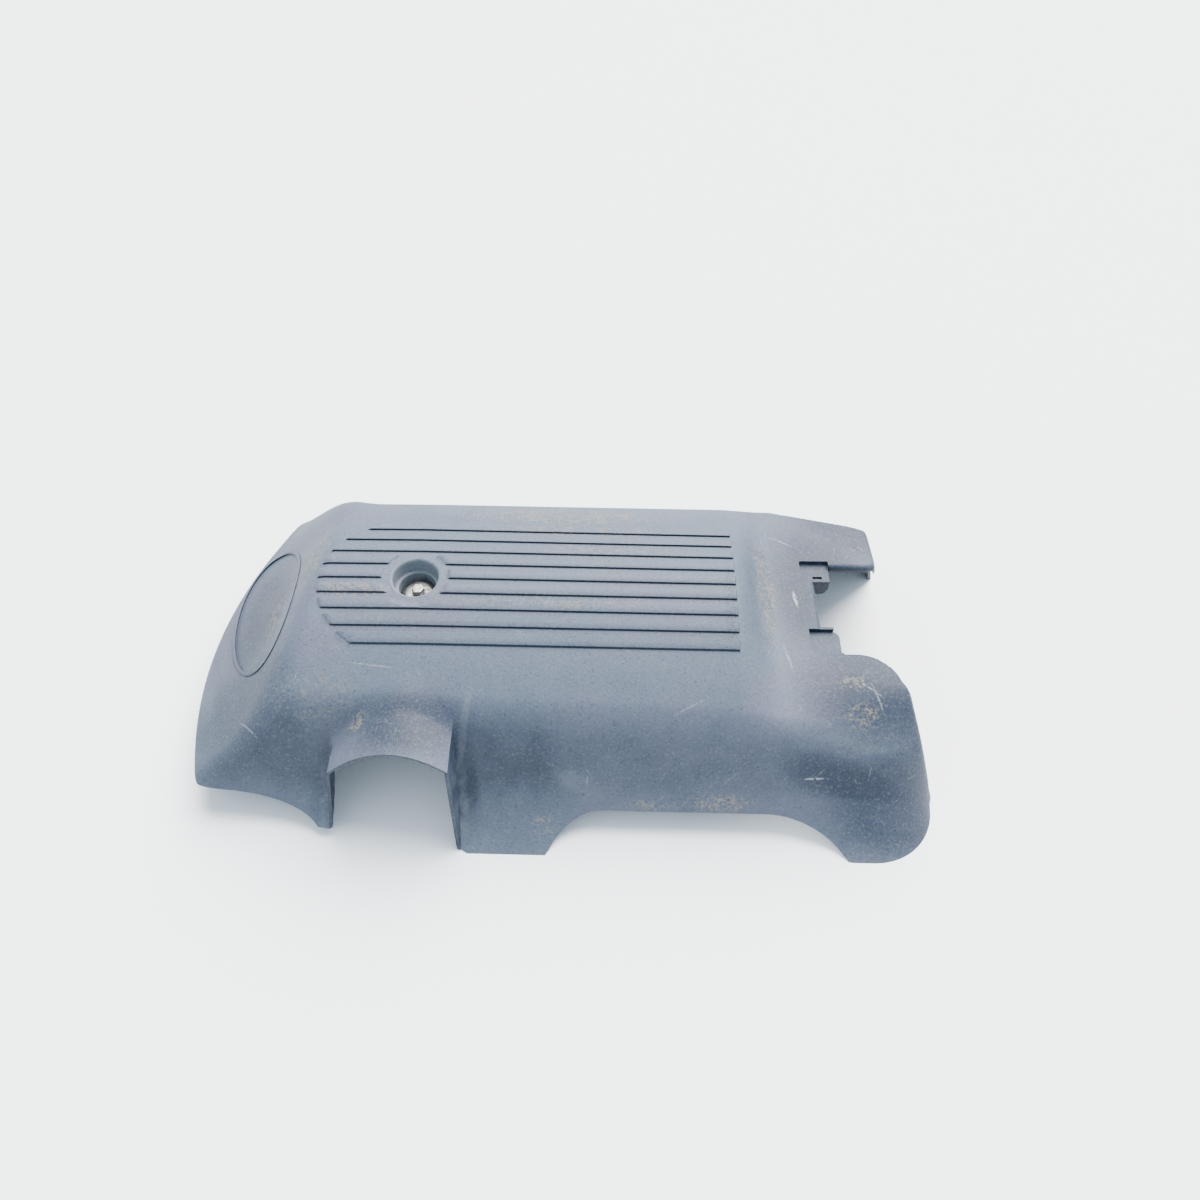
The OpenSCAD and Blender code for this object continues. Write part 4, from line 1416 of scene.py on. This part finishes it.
    def grommet(self, material: bpy.types.Material) -> bpy.types.Object:
        """Make the grommet, clipped into the well's floor."""
        floor, under, top = self.floor_z, self.floor_z - self.floor_t, self.seat_z
        foot = under - self.foot_h
        profile = [(5.65, foot), (12.3, foot), (13.1, foot + 0.4), (13.5, foot + 1.2), (13.5, under - 0.3),
                   (13.2, under), (8.7, under), (8.7, floor), (15.1, floor), (15.5, floor + 0.4),
                   (15.5, top - 1.2), (15.2, top - 0.4), (14.4, top), (5.65, top)]
        return self.ring("grommet_ring", profile, material)

    def sleeve(self, material: bpy.types.Material) -> bpy.types.Object:
        """Make the compression sleeve."""
        foot, top = self.floor_z - self.floor_t - self.foot_h, self.seat_z
        profile = [(3.3, foot + 0.3), (3.5, foot), (5.1, foot), (5.3, foot + 0.2), (5.3, top - 0.2),
                   (5.1, top), (3.5, top), (3.3, top - 0.2)]
        return self.ring("sleeve_tube", profile, material, 48)


@dataclass(frozen=True)
class PhotoCamera:
    """The photograph's camera, solved from the cover's outline. Places are in drawing millimetres."""

    focal_px: float = 988.6
    image_px: float = 1200.0
    elevation: float = 51.8
    azimuth: float = 0.164
    roll: float = 0.47
    distance: float = 890.0
    target: Point = (0.0, -1.1, 140.0)
    aim: Couple = (415.5, 574.5)
    sensor_mm: float = 36.0
    clip_m: Couple = (0.02, 60.0)

    def build(self, datum: Datum) -> bpy.types.Object:
        """Make the camera and make it the scene's own."""
        e, az, roll = radians(self.elevation), radians(self.azimuth), radians(self.roll)
        forward = Vector((-sin(az) * cos(e), cos(az) * cos(e), -sin(e)))
        right = Vector((cos(az), sin(az), 0.0))
        up = right.cross(forward)
        turned = cos(roll) * right + sin(roll) * up
        upright = cos(roll) * up - sin(roll) * right
        middle = self.image_px / 2
        side = (self.aim[0] - middle) / self.focal_px * self.distance
        down = (self.aim[1] - middle) / self.focal_px * self.distance
        target = Vector(datum.place(np.array([self.target]))[0])
        place = target - (turned * side - upright * down + forward * self.distance) * MM
        data = bpy.data.cameras.new("photo_camera")
        data.sensor_fit, data.sensor_width = "HORIZONTAL", self.sensor_mm
        data.lens = self.focal_px / self.image_px * self.sensor_mm
        data.clip_start, data.clip_end = self.clip_m
        camera = bpy.data.objects.new("photo_camera", data)
        axes = Matrix((turned, upright, -forward)).transposed().to_4x4()
        camera.matrix_world = Matrix.Translation(place) @ axes
        bpy.context.scene.collection.objects.link(camera)
        bpy.context.scene.camera = camera
        return camera


class Lamp(Enum):
    """The studio's soft lights: direction from the part, spread in degrees, strength and colour."""

    KEY = ((0.30, 0.72, 1.0), 58.0, 15.0, (1.0, 0.975, 0.935))
    FRONT_LEFT = ((-1.0, -0.75, 1.1), 90.0, 0.8, (0.88, 0.94, 1.0))

    def build(self) -> bpy.types.Object:
        """Make the light, turned to the part."""
        toward, spread, strength, colour = self.value
        data = bpy.data.lights.new(self.name.lower(), "SUN")
        data.energy, data.color, data.angle = strength, colour, radians(spread)
        light = bpy.data.objects.new(self.name.lower(), data)
        light.rotation_euler = Vector(toward).to_track_quat("Z", "Y").to_euler()
        bpy.context.scene.collection.objects.link(light)
        return light


def build_world(colour: Colour = (0.68, 0.84, 1.0, 1.0), strength: float = 1.5) -> None:
    """Surround the studio with an even pale light."""
    world = bpy.data.worlds.new("studio")
    world.use_nodes = True
    background = world.node_tree.nodes["Background"]
    background.inputs["Color"].default_value = colour
    background.inputs["Strength"].default_value = strength
    bpy.context.scene.world = world


def dress(piece: bpy.types.Object, node: str) -> None:
    """Put a piece in its node's place and on the part's one body."""
    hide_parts(node)
    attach(piece, "root")
    triangles = sum(len(polygon.vertices) - 2 for polygon in piece.data.polygons)
    LOG.info("%s stands for %s with %d triangles", piece.name, node, triangles)


def main() -> None:
    """Build the camera, the studio and every piece of the part."""
    logging.basicConfig(level=logging.INFO, format="%(name)s: %(message)s")
    datum = Datum.from_bolt("retaining_bolt")
    PhotoCamera().build(datum)
    build_world()
    for lamp in Lamp:
        lamp.build()
    PaleFloor().build()
    cover = Cover(datum).build(MouldedPlastic().material(datum, Bars()))
    dress(cover, "cover")
    fixing = Fixing(datum)
    dress(fixing.bolt(DullSteel("bolt_steel_dulled").material()), "retaining_bolt")
    washer_finish = DullSteel("washer_steel_dulled", bright=(0.33, 0.33, 0.32, 1.0), rough=0.38)
    dress(fixing.washer(washer_finish.material()), "washer")
    dress(fixing.grommet(BlackRubber().material()), "grommet")
    sleeve_finish = DullSteel("sleeve_steel_plain", bright=(0.30, 0.30, 0.30, 1.0), rough=0.42)
    dress(fixing.sleeve(sleeve_finish.material()), "sleeve")


if __name__ == "__main__":
    main()
